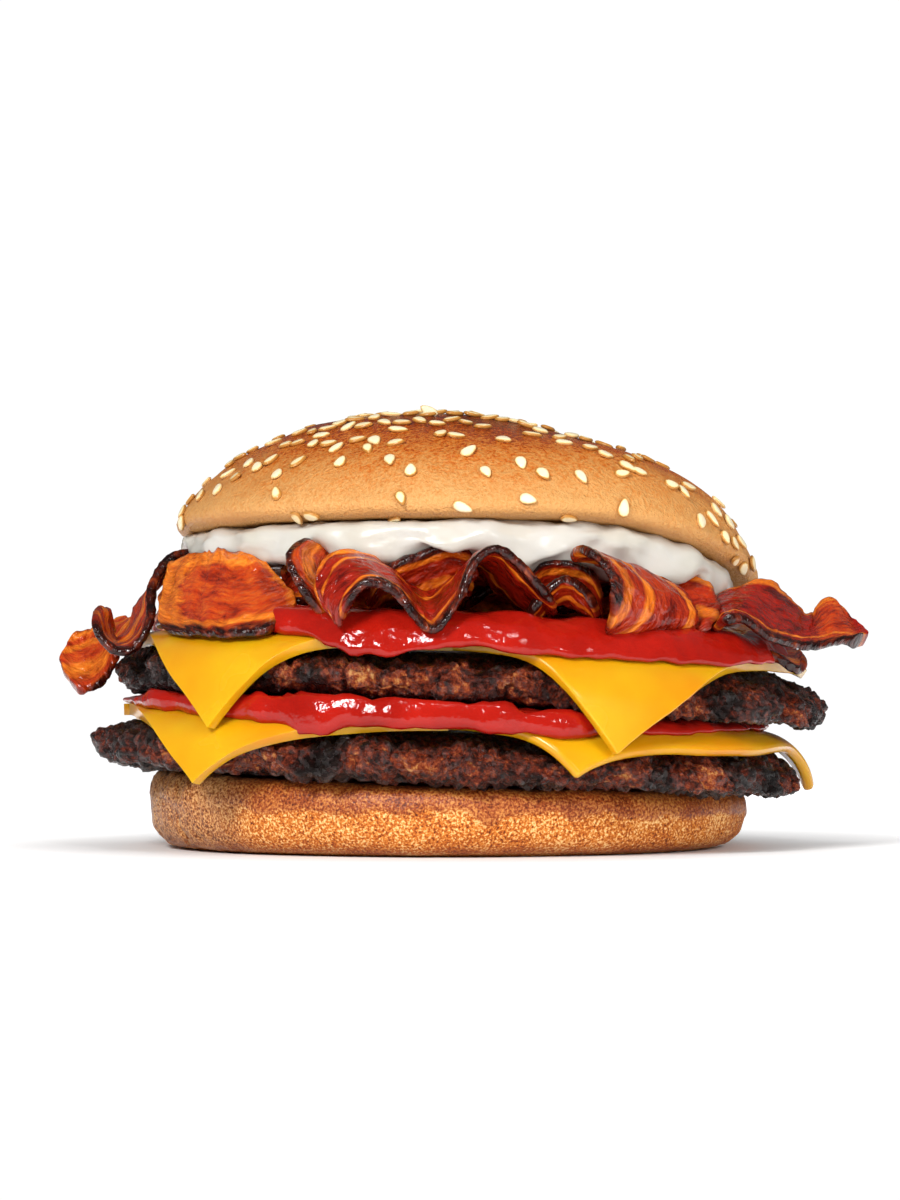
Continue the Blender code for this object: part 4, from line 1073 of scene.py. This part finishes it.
def build_cheese_slice(name, earlier, settings, finish):
    """A slice laid flat, cut round the slices that already lie on the same patty, and then draped."""
    start, first, second, side = slice_corners(name, 0.0)
    bm = bmesh.new()
    bmesh.ops.create_grid(bm, x_segments=SLICE_SQUARES, y_segments=SLICE_SQUARES, size=0.5)
    for vertex in bm.verts:
        vertex.co = start + first * side * (vertex.co.x + 0.5) + second * side * (vertex.co.y + 0.5)
    for other in earlier:
        corner, along_first, along_second, size = slice_corners(other, REST_GAP)
        for direction in (along_first, along_second):
            for shift in (0.0, size):
                bmesh.ops.bisect_plane(bm, geom=bm.verts[:] + bm.edges[:] + bm.faces[:], dist=1e-6,
                                       plane_co=corner + direction * shift, plane_no=direction)
        inside = []
        for face in bm.faces:
            off = face.calc_center_median() - corner
            if 0 < off.dot(along_first) < size and 0 < off.dot(along_second) < size:
                inside.append(face)
        bmesh.ops.delete(bm, geom=inside, context="FACES")
    bmesh.ops.remove_doubles(bm, verts=bm.verts[:], dist=0.05 * MM)
    obj = mesh_object(name.replace("cheese", "slice"), [], [])
    bm.to_mesh(obj.data)
    bm.free()
    flat, _ = points_and_normals(obj)
    x, y, z = drape(name, flat[:, 0], flat[:, 1])
    move_points(obj, np.stack([x, y, z + SLICE_WAVE * rough(flat, 12 * MM, 4.0)], 1))
    thick = obj.modifiers.new("thickness", "SOLIDIFY")
    thick.thickness = CHEESE_THICKNESS
    thick.offset = 1.0
    thick.use_even_offset = False
    soft = obj.modifiers.new("melted edge", "BEVEL")
    soft.width = settings.edge_round
    soft.segments = 3
    soft.limit_method = "ANGLE"
    soft.angle_limit = radians(50)
    final_mesh(obj)
    dress(obj, finish, "melted_cheese", name)


def rim_places(angle, radius):
    """Places on a flat rim, for noise that runs round it."""
    return np.stack([np.cos(angle) * radius, np.sin(angle) * radius, 0 * angle], -1)


def build_ketchup(name, node, sauce, patty, top, seed, settings, finish):
    """Ketchup on the cheese of a patty, up to a top, with a wavy edge that swells and sags."""
    at, wide, further, lower = sauce["tongue"]
    profile = rounded(KETCHUP_PROFILE, 64 * MM, 5 * MM, 0.7 * MM)

    def place(share, height, angle):
        radius = around(sauce["radius"], angle) * MM
        rim = rim_places(angle, radius)
        radius = radius + settings.lump * rough(rim, 9 * MM, seed, 2) * ramp(share, *SAUCE_EDGE)
        tongue = bell((np.degrees(angle) - at) / wide)
        radius = radius + further * MM * tongue * ramp(share, *SAUCE_EDGE)
        reach = share * radius
        lift = around(sauce["swell"], angle) * MM * (1 + 0.35 * rough(rim, 11 * MM, seed + 2, 2))
        lift = lift * ramp(share, sauce["swell_start"], SWELL_END)
        x = reach * np.cos(angle)
        low = cheese_top(patty, x, reach, angle) + SAUCE_CLEARANCE
        high = top(x, reach, angle, lift)
        sag = around(sauce["sag"], angle) + lower * tongue
        sag = sag * MM * (1 + 0.8 * rough(rim, 7 * MM, seed + 6, 2))
        sag = sag * ramp(share, 0.90, 1.0) * (1 - 0.6 * height)
        return x, reach * np.sin(angle), low + (high - low) * height - sag

    obj, (share, _, _) = turned(name, profile, RIM_POINTS["sauce"], place)
    points, _ = points_and_normals(obj)
    swell(obj, KETCHUP_RELIEF * rough(points, 5.5 * MM, seed + 4, 2) * ramp(share, 0.75, 0.9))
    dress(obj, finish, "ketchup", node)


def under_upper_patty(x, reach, angle, lift):
    """Top of the lower ketchup, which the upper patty presses flat."""
    middle = patty_level(UPPER_PATTY, x, 0.0, angle)
    return np.minimum(middle + lift, patty_underside(UPPER_PATTY, x, reach, angle)) - SAUCE_CLEARANCE


def over_upper_cheese(x, reach, angle, lift):
    """Top of the upper ketchup, a film that swells towards its edge."""
    return cheese_top(UPPER_PATTY, x, reach, angle) + SAUCE_CLEARANCE + SAUCE_GAP + KETCHUP_FILM + lift


def bacon_tree():
    """All strips of bacon as one search tree."""
    points, faces = [], []
    for obj in bpy.data.objects:
        if obj.name.startswith(("strip_", "fold_")):
            start = len(points)
            points.extend(vertex.co.copy() for vertex in obj.data.vertices)
            faces.extend([start + i for i in face.vertices] for face in obj.data.polygons)
    return BVHTree.FromPolygons(points, faces) if faces else None


def room_above_bacon(x, y, z):
    """How far the first bacon lies below each point, up to BACON_REACH."""
    tree = bacon_tree()
    if not tree:
        return np.full(x.shape, BACON_REACH)
    down = Vector((0.0, 0.0, -1.0))
    flat = np.stack([x, y, z], -1).reshape(-1, 3)
    hits = [tree.ray_cast(Vector(point), down, BACON_REACH)[3] for point in flat]
    return np.array([BACON_REACH if hit is None else hit for hit in hits]).reshape(x.shape)


def build_mayonnaise(settings):
    """Mayonnaise under the top bun, which comes down to the bacon but not into it."""
    profile = rounded(MAYO_PROFILE, 55 * MM, 8 * MM, 0.7 * MM)

    def place(share, height, angle):
        radius = around(MAYO_RADIUS, angle) * MM
        rim = rim_places(angle, radius)
        radius = radius + MAYO_EDGE_WAVE * rough(rim, 9 * MM, 6.0, 2) * ramp(share, *SAUCE_EDGE)
        reach = share * radius
        depth = MAYO_FILM + (around(MAYO_DEPTH, angle) * MM - MAYO_FILM) * ramp(share, *MAYO_SWELL)
        depth = depth * (1 + 0.2 * rough(rim, 12 * MM, 7.0, 2))
        uneven = crown_uneven(reach / CROWN_RADIUS, angle)
        flat_x, flat_y = reach * np.cos(angle), reach * np.sin(angle)
        room = room_above_bacon(*in_crown_frame(flat_x, flat_y, uneven))
        depth = np.minimum(depth, np.maximum(room - 2 * SAUCE_CLEARANCE, MAYO_LEAST))
        for _ in range(3):
            depth[:, :] = (np.roll(depth, 1, 1) + 2 * depth + np.roll(depth, -1, 1)) / 4
            depth[1:-1] = (depth[:-2] + 2 * depth[1:-1] + depth[2:]) / 4
        down = 0.05 * MM + depth * (1 - height)
        return in_crown_frame(flat_x, flat_y, uneven - down)

    obj, (share, _, _) = turned("mayonnaise_layer", profile, RIM_POINTS["sauce"], place)
    points, _ = points_and_normals(obj)
    swirl = rough(points * (1, 1, 2.2) + 3 * MM, 6 * MM, 8.0, 2)
    swirl = swirl + 0.6 * np.abs(rough(points * (1, 1, 2), 9 * MM, 8.5, 1))
    swell(obj, MAYO_SWIRL * swirl * ramp(share, 0.7, 0.9))
    dress(obj, smooth_mayonnaise(settings), "mayonnaise", "mayonnaise")


def strip_places(rind, fat, seed):
    """Places on a strip's middle sheet, its shares along and across, its rind edge and its width there."""
    u = np.linspace(0, 1, STRIP_ROWS * (len(rind) - 1))[:, None]
    even = np.linspace(0, 1, STRIP_COLS)[None]
    v = 0.5 * (0.5 - 0.5 * np.cos(pi * even)) + 0.5 * even
    a, b = along(rind, u[:, 0])[:, None], along(fat, u[:, 0])[:, None]
    wander = rough(np.concatenate([a, b], 1), 5 * MM, seed, 2) * np.array((0.020, 0.035))
    share = v * (1 + wander[:, :1] + wander[:, 1:]) - wander[:, :1]
    reach = np.linalg.norm(np.diff((a + b)[:, 0] / 2, axis=0), axis=-1).sum()
    corner = END_ROUNDING * np.linalg.norm(b - a, axis=-1).mean() / reach
    torn = rough(np.stack([0 * v, 20 * MM * v, 0 * v], -1) + seed, 4 * MM, seed, 2)
    inset = corner * (np.abs(2 * v - 1) ** 3 + 0.25 * torn + 0.25)
    placed = inset + (1 - 2 * inset) * u
    start, end = along(rind, placed), along(fat, placed)
    return start + (end - start) * share[..., None], u, v, a, np.linalg.norm(end - start, axis=-1)


def build_strip(name, stations, look, seed, finish, *nodes):
    """A ruffled strip of bacon between its rind edge and its fat edge."""
    warmth, bands = look
    edges = np.array(stations).reshape(-1, 2, 3) * MM
    middle, u, v, rind_edge, width = strip_places(edges[:, 0], edges[:, 1], seed)
    run = np.gradient(middle, axis=0)
    normal = np.cross(run, np.gradient(middle, axis=1))
    normal /= np.maximum(np.linalg.norm(normal, axis=-1, keepdims=True), 1e-12)
    steps = np.linalg.norm(run[:-1, STRIP_COLS // 2], axis=-1)
    length = np.concatenate([[0.0], np.cumsum(steps)])[:, None]
    flat = np.stack(np.broadcast_arrays(length + seed, v * width, 0 * v), -1)

    # How high the sheet rises and how thick it is: plump and beaded at the rind, thin at the fat edge
    streak = rough(flat * (0.12, 1, 1), 2.2 * MM, seed, 2)
    ripple = rough(flat, 7 * MM, seed + 2)
    bead = rough(flat * (1, 0.2, 1), 1.6 * MM, seed + 4, 2) * bell(v / 0.10)
    blister = np.abs(rough(flat * (1, 0.6, 1), 5 * MM, seed + 9, 2))
    rise = (RIPPLE * ripple - BLISTER * blister + 0.2) * MM * ramp(v, 0.0, 0.2)
    plump = 1 + 0.8 * rough(rind_edge, 6 * MM, seed + 7, 2)
    thickness = BACON_THICKNESS / 2 * (0.80 + 0.26 * plump * bell(v / 0.12) - 0.15 * v)
    thickness = thickness + STREAK * MM * streak + BEAD * MM * bead
    side = (1 - np.abs(2 * v - 1) ** 9) ** (1 / 3)
    end = (1 - np.abs(2 * u - 1) ** 60) ** (1 / 3)
    knob = 1 + END_KNOBS.get(name, 0.0) * ramp(u, 0.88, 0.96)
    half = thickness * knob * np.maximum(side, 0.12) * np.maximum(end, 0.2)
    obj = slab(name, middle + normal * (rise + half)[..., None], middle + normal * (rise - half)[..., None])

    def both(values):
        return np.concatenate([np.ravel(np.broadcast_to(values, width.shape))] * 2)

    wander = 0.05 * rough(flat * (1, 0.3, 1), 14 * MM, seed + 5, 2) + 0.02 * streak
    fatty = np.zeros(width.shape)
    for centre, half_width in bands:
        fatty = np.maximum(fatty, bell((v - centre - wander) / half_width))
    if name in FAT_ENDS:
        first, last = FAT_ENDS[name]
        ends = np.maximum(ramp(u + 2 * wander, first, first - 0.12), ramp(u + 2 * wander, last, last + 0.12))
        fatty = np.maximum(fatty, 0.9 * ends)
    if name in WARM_RUNS:
        first, last = WARM_RUNS[name]
        warmth = warmth + 0.8 * ramp(u, first, first + 0.06) * ramp(u, last + 0.06, last)
    rind = 0.0 if name in BARE_RIND else RIND_WIDTH
    rind = rind + 0.06 * rough(rind_edge, 9 * MM, seed + 8, 2)
    mark(obj, "fat", both(fatty))
    mark(obj, "warmth", both(warmth))
    mark(obj, "rind", both(ramp(v + 0.025 * streak + 0.02 * bead, rind + 0.035, rind - 0.025)))
    mark(obj, "crisp", both(0.75 * np.maximum(ramp(v, 0.95, 1.0), ramp(np.abs(2 * u - 1), 0.965, 1.0))))
    corners = np.empty(len(obj.data.loops), np.int32)
    obj.data.loops.foreach_get("vertex_index", corners)
    pair = np.stack([both(length), both(v * width)], 1)[corners]
    obj.data.uv_layers.new(name="strip").data.foreach_set("uv", pair.astype(np.float32).ravel())
    dress(obj, finish, "fried_bacon", *nodes)


def build_top_bun(settings):
    """The domed top bun, tilted, with a ragged lip."""
    swing = np.sin(np.linspace(0, CROWN_SWING, 60))
    dome = [(share, (1 - share**CROWN_FALL) ** CROWN_FULLNESS) for share in swing]
    profile = rounded((*dome, *CROWN_LIP), CROWN_RADIUS, CROWN_HEIGHT, 0.9 * MM, 2)

    def place(share, height, angle):
        reach = share * CROWN_RADIUS
        up = height * CROWN_HEIGHT + crown_uneven(share, angle)
        return in_crown_frame(reach * np.cos(angle), reach * np.sin(angle), up)

    obj, (share, height, angle) = turned("top_bun", profile, RIM_POINTS["top_bun"], place)
    points, _ = points_and_normals(obj)
    lip = ramp(height, 0.22, 0.04) * ramp(share, 0.9, 0.97)
    amount = (
        CROWN_SWELL * rough(points, 16 * MM, 9.0, 2)
        + CROWN_DENT * rough(points, 3.5 * MM, 10.0, 2)
        + LIP_RELIEF * lip * rough(points, 3 * MM, 11.0, 3)
    )
    swell(obj, amount * ramp(height, 0.0, 0.06))
    back = ramp(np.sin(angle), -0.3, 0.9)
    mark(obj, "bake", np.clip(height, 0.0, 1.0) + 0.10 * back * ramp(share, 0.2, 0.8))
    dress(obj, toasted_crust(settings), "toasted_crust", "bun_crown")


def spread(index, base):
    """The index's digits in a base, mirrored after the point, which fill 0 to 1 evenly, without chance."""
    value, share = 0.0, 1.0
    while index:
        share /= base
        value += share * (index % base)
        index //= base
    return value


def seed_frame(at, normal, across):
    """The frame of a seed that lies flat on the crust with its length along a direction."""
    length = (across - normal * across.dot(normal)).normalized()
    side = normal.cross(length)
    turn = Matrix((length, side, normal)).transposed().to_4x4()
    return Matrix.Translation(at) @ turn


def seeds_in_view(bun):
    """Seeds in front, set down on the bun along the camera's own rays. A ray that misses moves up the bun."""
    places = []
    standing = [(column, row, None) for column, row in STANDING_SEEDS]
    for index, (column, row, heading) in enumerate([*SEEDS_IN_VIEW, *standing]):
        for nudge in range(SEED_NUDGES):
            aside, up = column - IMAGE_CENTRE[0], IMAGE_CENTRE[1] - row - nudge
            ray = Vector((aside / IMAGE_FOCUS, 1.0, up / IMAGE_FOCUS))
            hit, at, normal, _ = bun.ray_cast(CAMERA_PLACE, ray)
            if hit:
                break
        if not hit:
            continue
        if heading is None:
            lean = Vector(STANDING_LENGTH).normalized()
            places.append(seed_frame(at + lean * 0.6 * MM, Vector(STANDING_FACE).normalized(), lean))
            continue
        flat = Vector((cos(radians(heading)), 0.0, sin(radians(heading))))
        slide = max(-1.5, min(1.5, -flat.dot(normal) / min(normal.y, -0.2)))
        tilt = Matrix.Rotation(SEED_TILT_IN_VIEW * (spread(index + 1, 5) - 0.5), 4, "Y")
        places.append(seed_frame(at, normal, flat + Vector((0.0, slide, 0.0))) @ tilt)
    return places


def seeds_out_of_view(bun, count, taken):
    """Seeds on the top and the back, thinning out towards the lip, each with its own heading."""
    places, index = [], 0
    upright = CROWN_FRAME.to_3x3() @ Vector((0.0, 0.0, 1.0))
    while len(places) < count and index < SEED_TRIES:
        index += 1
        share = SEED_REACH * spread(index, 2) ** SEED_CROWDING
        angle = 2 * pi * spread(index, 3)
        if spread(index, 5) < SEED_THINNING * ramp(share, SEED_THIN_FROM, 1.0):
            continue
        reach = share * CROWN_RADIUS
        height = CROWN_HEIGHT * (1 - share**CROWN_FALL) ** CROWN_FULLNESS
        over = CROWN_FRAME @ Vector((reach * cos(angle), reach * sin(angle), height))
        hit, at, normal, _ = bun.closest_point_on_mesh(over)
        in_view = normal.dot((CAMERA_PLACE - at).normalized()) > 0.02
        if not hit or normal.dot(upright) < 0.1 or in_view:
            continue
        if any((at - other.translation).length < SEED_GAP for other in (*taken, *places)):
            continue
        across = normal.orthogonal()
        across.rotate(Matrix.Rotation(2 * pi * spread(index, 7), 3, normal))
        tilt = Matrix.Rotation(SEED_TILT_BEHIND * (spread(index, 11) - 0.5), 4, "Y")
        places.append(seed_frame(at, normal, across) @ tilt)
    return places


def seed_tree(finish):
    """Puts a teardrop seed on every point, turned by the point's own angles, and makes it all one mesh."""
    tree = bpy.data.node_groups.new("sesame seeds", "GeometryNodeTree")
    face = tree.interface
    face.new_socket("Geometry", in_out="INPUT", socket_type="NodeSocketGeometry")
    for name in ("Length", "Width", "Thickness"):
        face.new_socket(name, in_out="INPUT", socket_type="NodeSocketFloat").subtype = "DISTANCE"
    face.new_socket("Geometry", in_out="OUTPUT", socket_type="NodeSocketGeometry")
    given = tree.nodes.new("NodeGroupInput").outputs
    ball = add(tree, "GeometryNodeMeshUVSphere", {"Segments": 12, "Rings": 8, "Radius": 0.5})
    place = add(tree, "GeometryNodeInputPosition")
    parts = add(tree, "SeparateXYZ", {0: place}, out=0).node.outputs
    taper = add(tree, "Math", {0: parts[0], 1: -0.75, 2: 1.0}, operation="MULTIPLY_ADD")
    narrow = add(tree, "Math", {0: parts[1], 1: taper}, operation="MULTIPLY")
    away = add(tree, "VectorMath", {0: place, 1: (1.0, 1.0, 0.0)}, operation="MULTIPLY")
    away = add(tree, "VectorMath", {0: away}, out="Value", operation="LENGTH")
    dip = add(tree, "MapRange", {"Value": away, 1: 0.12, 2: 0.36, 3: 0.72, 4: 1.0})
    flat = add(tree, "Math", {0: parts[2], 1: dip}, operation="MULTIPLY")
    moved = add(tree, "CombineXYZ", {0: parts[0], 1: narrow, 2: flat})
    size = add(tree, "CombineXYZ", {0: given["Length"], 1: given["Width"], 2: given["Thickness"]})
    moved = add(tree, "VectorMath", {0: moved, 1: size}, operation="MULTIPLY")
    rim = add(tree, "MapRange", {"Value": away, 1: 0.28, 2: 0.5, 3: 0.0, 4: 0.75})
    kept = add(tree, "GeometryNodeStoreNamedAttribute", {"Geometry": ball, "Name": "rim", "Value": rim},
               data_type="FLOAT", domain="POINT")
    shape = add(tree, "GeometryNodeSetPosition", {"Geometry": kept, "Position": moved})
    turn = add(tree, "GeometryNodeInputNamedAttribute", {"Name": "turn"}, data_type="FLOAT_VECTOR")
    turn = add(tree, "FunctionNodeEulerToRotation", {0: turn})
    scale = add(tree, "GeometryNodeInputNamedAttribute", {"Name": "size"}, data_type="FLOAT_VECTOR")
    many = add(tree, "GeometryNodeInstanceOnPoints", {
        "Points": given["Geometry"], "Instance": shape, "Rotation": turn, "Scale": scale,
    })
    tone = add(tree, "FunctionNodeRandomValue", {2: 0.0, 3: 1.0, "Seed": 7}, out=1, data_type="FLOAT")
    many = add(tree, "GeometryNodeStoreNamedAttribute", {"Geometry": many, "Name": "tone", "Value": tone},
               data_type="FLOAT", domain="INSTANCE")
    real = add(tree, "GeometryNodeRealizeInstances", {"Geometry": many})
    done = add(tree, "GeometryNodeSetMaterial", {"Geometry": real, "Material": finish})
    add(tree, "NodeGroupOutput", {"Geometry": done})
    return tree


def store_vectors(obj, name, vectors):
    """Stores one vector for each vertex."""
    made = obj.data.attributes.new(name, "FLOAT_VECTOR", "POINT")
    made.data.foreach_set("vector", np.ravel(vectors).astype(np.float32))


def build_seeds(settings):
    """Sesame seeds on the top bun, each with its own place, heading and size."""
    bun = bpy.data.objects["top_bun"]
    seen = seeds_in_view(bun)
    places = seen + seeds_out_of_view(bun, settings.count - len(seen), seen)
    lift = Vector((0.0, 0.0, SEED_LIFT * settings.thickness))
    obj = mesh_object("sesame_seeds", [place @ lift for place in places], [])
    store_vectors(obj, "turn", [place.to_euler() for place in places])
    (short, longer), (slim, wider) = SEED_LENGTHS, SEED_WIDTHS
    store_vectors(obj, "size", [
        (short + longer * spread(i, 3), slim + wider * spread(i, 2), 1.0) for i in range(1, len(places) + 1)
    ])
    finish = sesame_hull(settings)
    seeds = obj.modifiers.new("seeds", "NODES")
    seeds.node_group = seed_tree(finish)
    wanted = {"Length": settings.length, "Width": settings.width, "Thickness": settings.thickness}
    for item in seeds.node_group.interface.items_tree:
        if item.in_out == "INPUT" and item.name in wanted:
            seeds[item.identifier] = wanted[item.name]
    final_mesh(obj)
    dress(obj, finish, "toasted_crust", "bun_crown")


# Operators

class BURGER_OT_bottom_bun(bpy.types.Operator):
    """Build the bottom bun"""

    bl_idname = "burger.bottom_bun"
    bl_label = "Bottom bun"

    def execute(self, context):
        build_bottom_bun(context.scene.burger_bun)
        return {"FINISHED"}


class BURGER_OT_patties(bpy.types.Operator):
    """Build the two grilled patties"""

    bl_idname = "burger.patties"
    bl_label = "Patties"

    def execute(self, context):
        settings = context.scene.burger_meat
        finish = grilled_beef(settings)
        build_patty("lower_patty", "patty_lower", LOWER_PATTY, 1.7, settings, finish)
        build_patty("upper_patty", "patty_upper", UPPER_PATTY, 8.3, settings, finish)
        return {"FINISHED"}


class BURGER_OT_cheese(bpy.types.Operator):
    """Build the cheese slices that hang over the patties"""

    bl_idname = "burger.cheese"
    bl_label = "Cheese"

    def execute(self, context):
        settings = context.scene.burger_cheese
        finish = melted_cheese(settings)
        laid = []
        for name, slice_of in CHEESE_SLICES.items():
            earlier = [other for other in laid if CHEESE_SLICES[other][0] is slice_of[0]]
            build_cheese_slice(name, earlier, settings, finish)
            laid.append(name)
        return {"FINISHED"}


class BURGER_OT_ketchup(bpy.types.Operator):
    """Build the two layers of ketchup"""

    bl_idname = "burger.ketchup"
    bl_label = "Ketchup"

    def execute(self, context):
        settings = context.scene.burger_sauce
        finish = wet_ketchup(settings)
        build_ketchup("ketchup_between", "ketchup_lower", LOWER_KETCHUP, LOWER_PATTY, under_upper_patty,
                      2.0, settings, finish)
        build_ketchup("ketchup_on_top", "ketchup_upper", UPPER_KETCHUP, UPPER_PATTY, over_upper_cheese,
                      5.0, settings, finish)
        return {"FINISHED"}


class BURGER_OT_bacon(bpy.types.Operator):
    """Build the ruffled strips of bacon"""

    bl_idname = "burger.bacon"
    bl_label = "Bacon"

    def execute(self, context):
        finish = fried_bacon(context.scene.burger_meat)
        for index, (name, stations) in enumerate(BACON_STRIPS.items()):
            piece = name.replace("bacon", "strip")
            build_strip(piece, stations, STRIP_LOOKS[name], 0.37 * index, finish, name)
        for index, (name, stations) in enumerate(INNER_FOLDS.items()):
            build_strip(name, stations, FOLD_LOOK, 5.1 + 0.29 * index, finish)
        return {"FINISHED"}


class BURGER_OT_mayonnaise(bpy.types.Operator):
    """Build the mayonnaise under the top bun"""

    bl_idname = "burger.mayonnaise"
    bl_label = "Mayonnaise"

    def execute(self, context):
        build_mayonnaise(context.scene.burger_sauce)
        return {"FINISHED"}


class BURGER_OT_top_bun(bpy.types.Operator):
    """Build the top bun"""

    bl_idname = "burger.top_bun"
    bl_label = "Top bun"

    def execute(self, context):
        build_top_bun(context.scene.burger_bun)
        return {"FINISHED"}


class BURGER_OT_seeds(bpy.types.Operator):
    """Scatter the sesame seeds over the top bun"""

    bl_idname = "burger.seeds"
    bl_label = "Sesame seeds"

    def execute(self, context):
        build_seeds(context.scene.burger_seeds)
        return {"FINISHED"}


def area_light(name, power, width, place, mirrored):
    """A square lamp that faces the middle of the burger. Reflections show it only where mirrored is true."""
    lamp = bpy.data.lights.new(name, "AREA")
    lamp.energy = power
    lamp.size = width
    obj = bpy.data.objects.new(name, lamp)
    obj.location = place
    obj.rotation_euler = (Vector(LAMP_TARGET) - Vector(place)).to_track_quat("-Z", "Y").to_euler()
    obj.visible_glossy = mirrored
    bpy.context.scene.collection.objects.link(obj)


class BURGER_OT_stage(bpy.types.Operator):
    """Set up the floor, the light and the camera"""

    bl_idname = "burger.stage"
    bl_label = "Floor, light and camera"

    def execute(self, context):
        settings = context.scene.burger_stage
        scene = context.scene
        bpy.ops.mesh.primitive_plane_add(size=FLOOR_SIDE)
        floor = context.object
        floor.name = "floor"
        made, tree, at = new_material("floor_paint")
        away = add(tree, "VectorMath", {0: at}, out="Value", operation="LENGTH")
        glow = add(tree, "MapRange", {"Value": away, 1: GLOW_START, 2: GLOW_FULL, 3: 0.0, 4: GLOW_STRENGTH})
        set_shader(tree, Base_Color=tuple(settings.floor), Roughness=0.7, Specular_IOR_Level=0.2,
                   Emission_Color=(1.0, 1.0, 1.0, 1.0), Emission_Strength=glow)
        floor.data.materials.append(made)

        for name, (share, width, place, mirrored) in LAMPS.items():
            area_light(name, share * settings.key_power, width, place, mirrored)

        # The camera sees the world white, but the burger is lit and mirrored by less of it
        world = bpy.data.worlds.new("studio")
        scene.world = world
        world.use_nodes = True
        sky = world.node_tree
        seen = add(sky, "LightPath", out="Is Camera Ray")
        mirrored = add(sky, "LightPath", out="Is Glossy Ray")
        strength = add(sky, "MapRange", {"Value": seen, 1: 0.0, 2: 1.0, 3: WORLD_LIGHT, 4: WORLD_SEEN})
        strength = add(sky, "Math", {0: mirrored, 1: WORLD_MIRRORED, 2: strength}, operation="MULTIPLY_ADD")
        sky.links.new(strength, sky.nodes["Background"].inputs["Strength"])
        sky.nodes["Background"].inputs["Color"].default_value = (1.0, 1.0, 1.0, 1.0)

        lens = bpy.data.cameras.new("camera")
        lens.sensor_fit = "VERTICAL"
        lens.sensor_height = SENSOR_HEIGHT
        lens.lens = LENS
        lens.clip_start = 0.05
        camera = bpy.data.objects.new("camera", lens)
        camera.location = CAMERA_PLACE
        camera.rotation_euler = (pi / 2, 0.0, 0.0)
        scene.collection.objects.link(camera)
        scene.camera = camera
        scene.view_settings.view_transform = "Standard"
        return {"FINISHED"}


class BURGER_PT_panel(bpy.types.Panel):
    """Lists the pieces of the burger"""

    bl_label = "Double cheeseburger"
    bl_idname = "BURGER_PT_panel"
    bl_space_type = "VIEW_3D"
    bl_region_type = "UI"
    bl_category = "Burger"

    def draw(self, context):
        for operator in OPERATORS:
            self.layout.operator(operator.bl_idname)
        for name in SETTINGS:
            box = self.layout.box()
            group = getattr(context.scene, name)
            for prop in group.bl_rna.properties:
                if prop.identifier not in ("rna_type", "name"):
                    box.prop(group, prop.identifier)


SETTINGS = {
    "burger_bun": BunSettings,
    "burger_seeds": SeedSettings,
    "burger_meat": MeatSettings,
    "burger_cheese": CheeseSettings,
    "burger_sauce": SauceSettings,
    "burger_stage": StageSettings,
}
OPERATORS = (
    BURGER_OT_bottom_bun, BURGER_OT_patties, BURGER_OT_cheese, BURGER_OT_ketchup, BURGER_OT_bacon,
    BURGER_OT_mayonnaise, BURGER_OT_top_bun, BURGER_OT_seeds, BURGER_OT_stage,
)


def register():
    for group in SETTINGS.values():
        bpy.utils.register_class(group)
    for operator in OPERATORS:
        bpy.utils.register_class(operator)
    bpy.utils.register_class(BURGER_PT_panel)
    for name, group in SETTINGS.items():
        setattr(bpy.types.Scene, name, PointerProperty(type=group))


def unregister():
    for name in SETTINGS:
        delattr(bpy.types.Scene, name)
    bpy.utils.unregister_class(BURGER_PT_panel)
    for operator in reversed(OPERATORS):
        bpy.utils.unregister_class(operator)
    for group in SETTINGS.values():
        bpy.utils.unregister_class(group)


def main():
    register()
    for item in list(bpy.data.objects):
        if item.name in ("Cube", "Light", "Camera"):
            bpy.data.objects.remove(item, do_unlink=True)
    bpy.ops.burger.bottom_bun()
    bpy.ops.burger.patties()
    bpy.ops.burger.cheese()
    bpy.ops.burger.ketchup()
    bpy.ops.burger.bacon()
    bpy.ops.burger.mayonnaise()
    bpy.ops.burger.top_bun()
    bpy.ops.burger.seeds()
    bpy.ops.burger.stage()


if __name__ == "__main__":
    main()
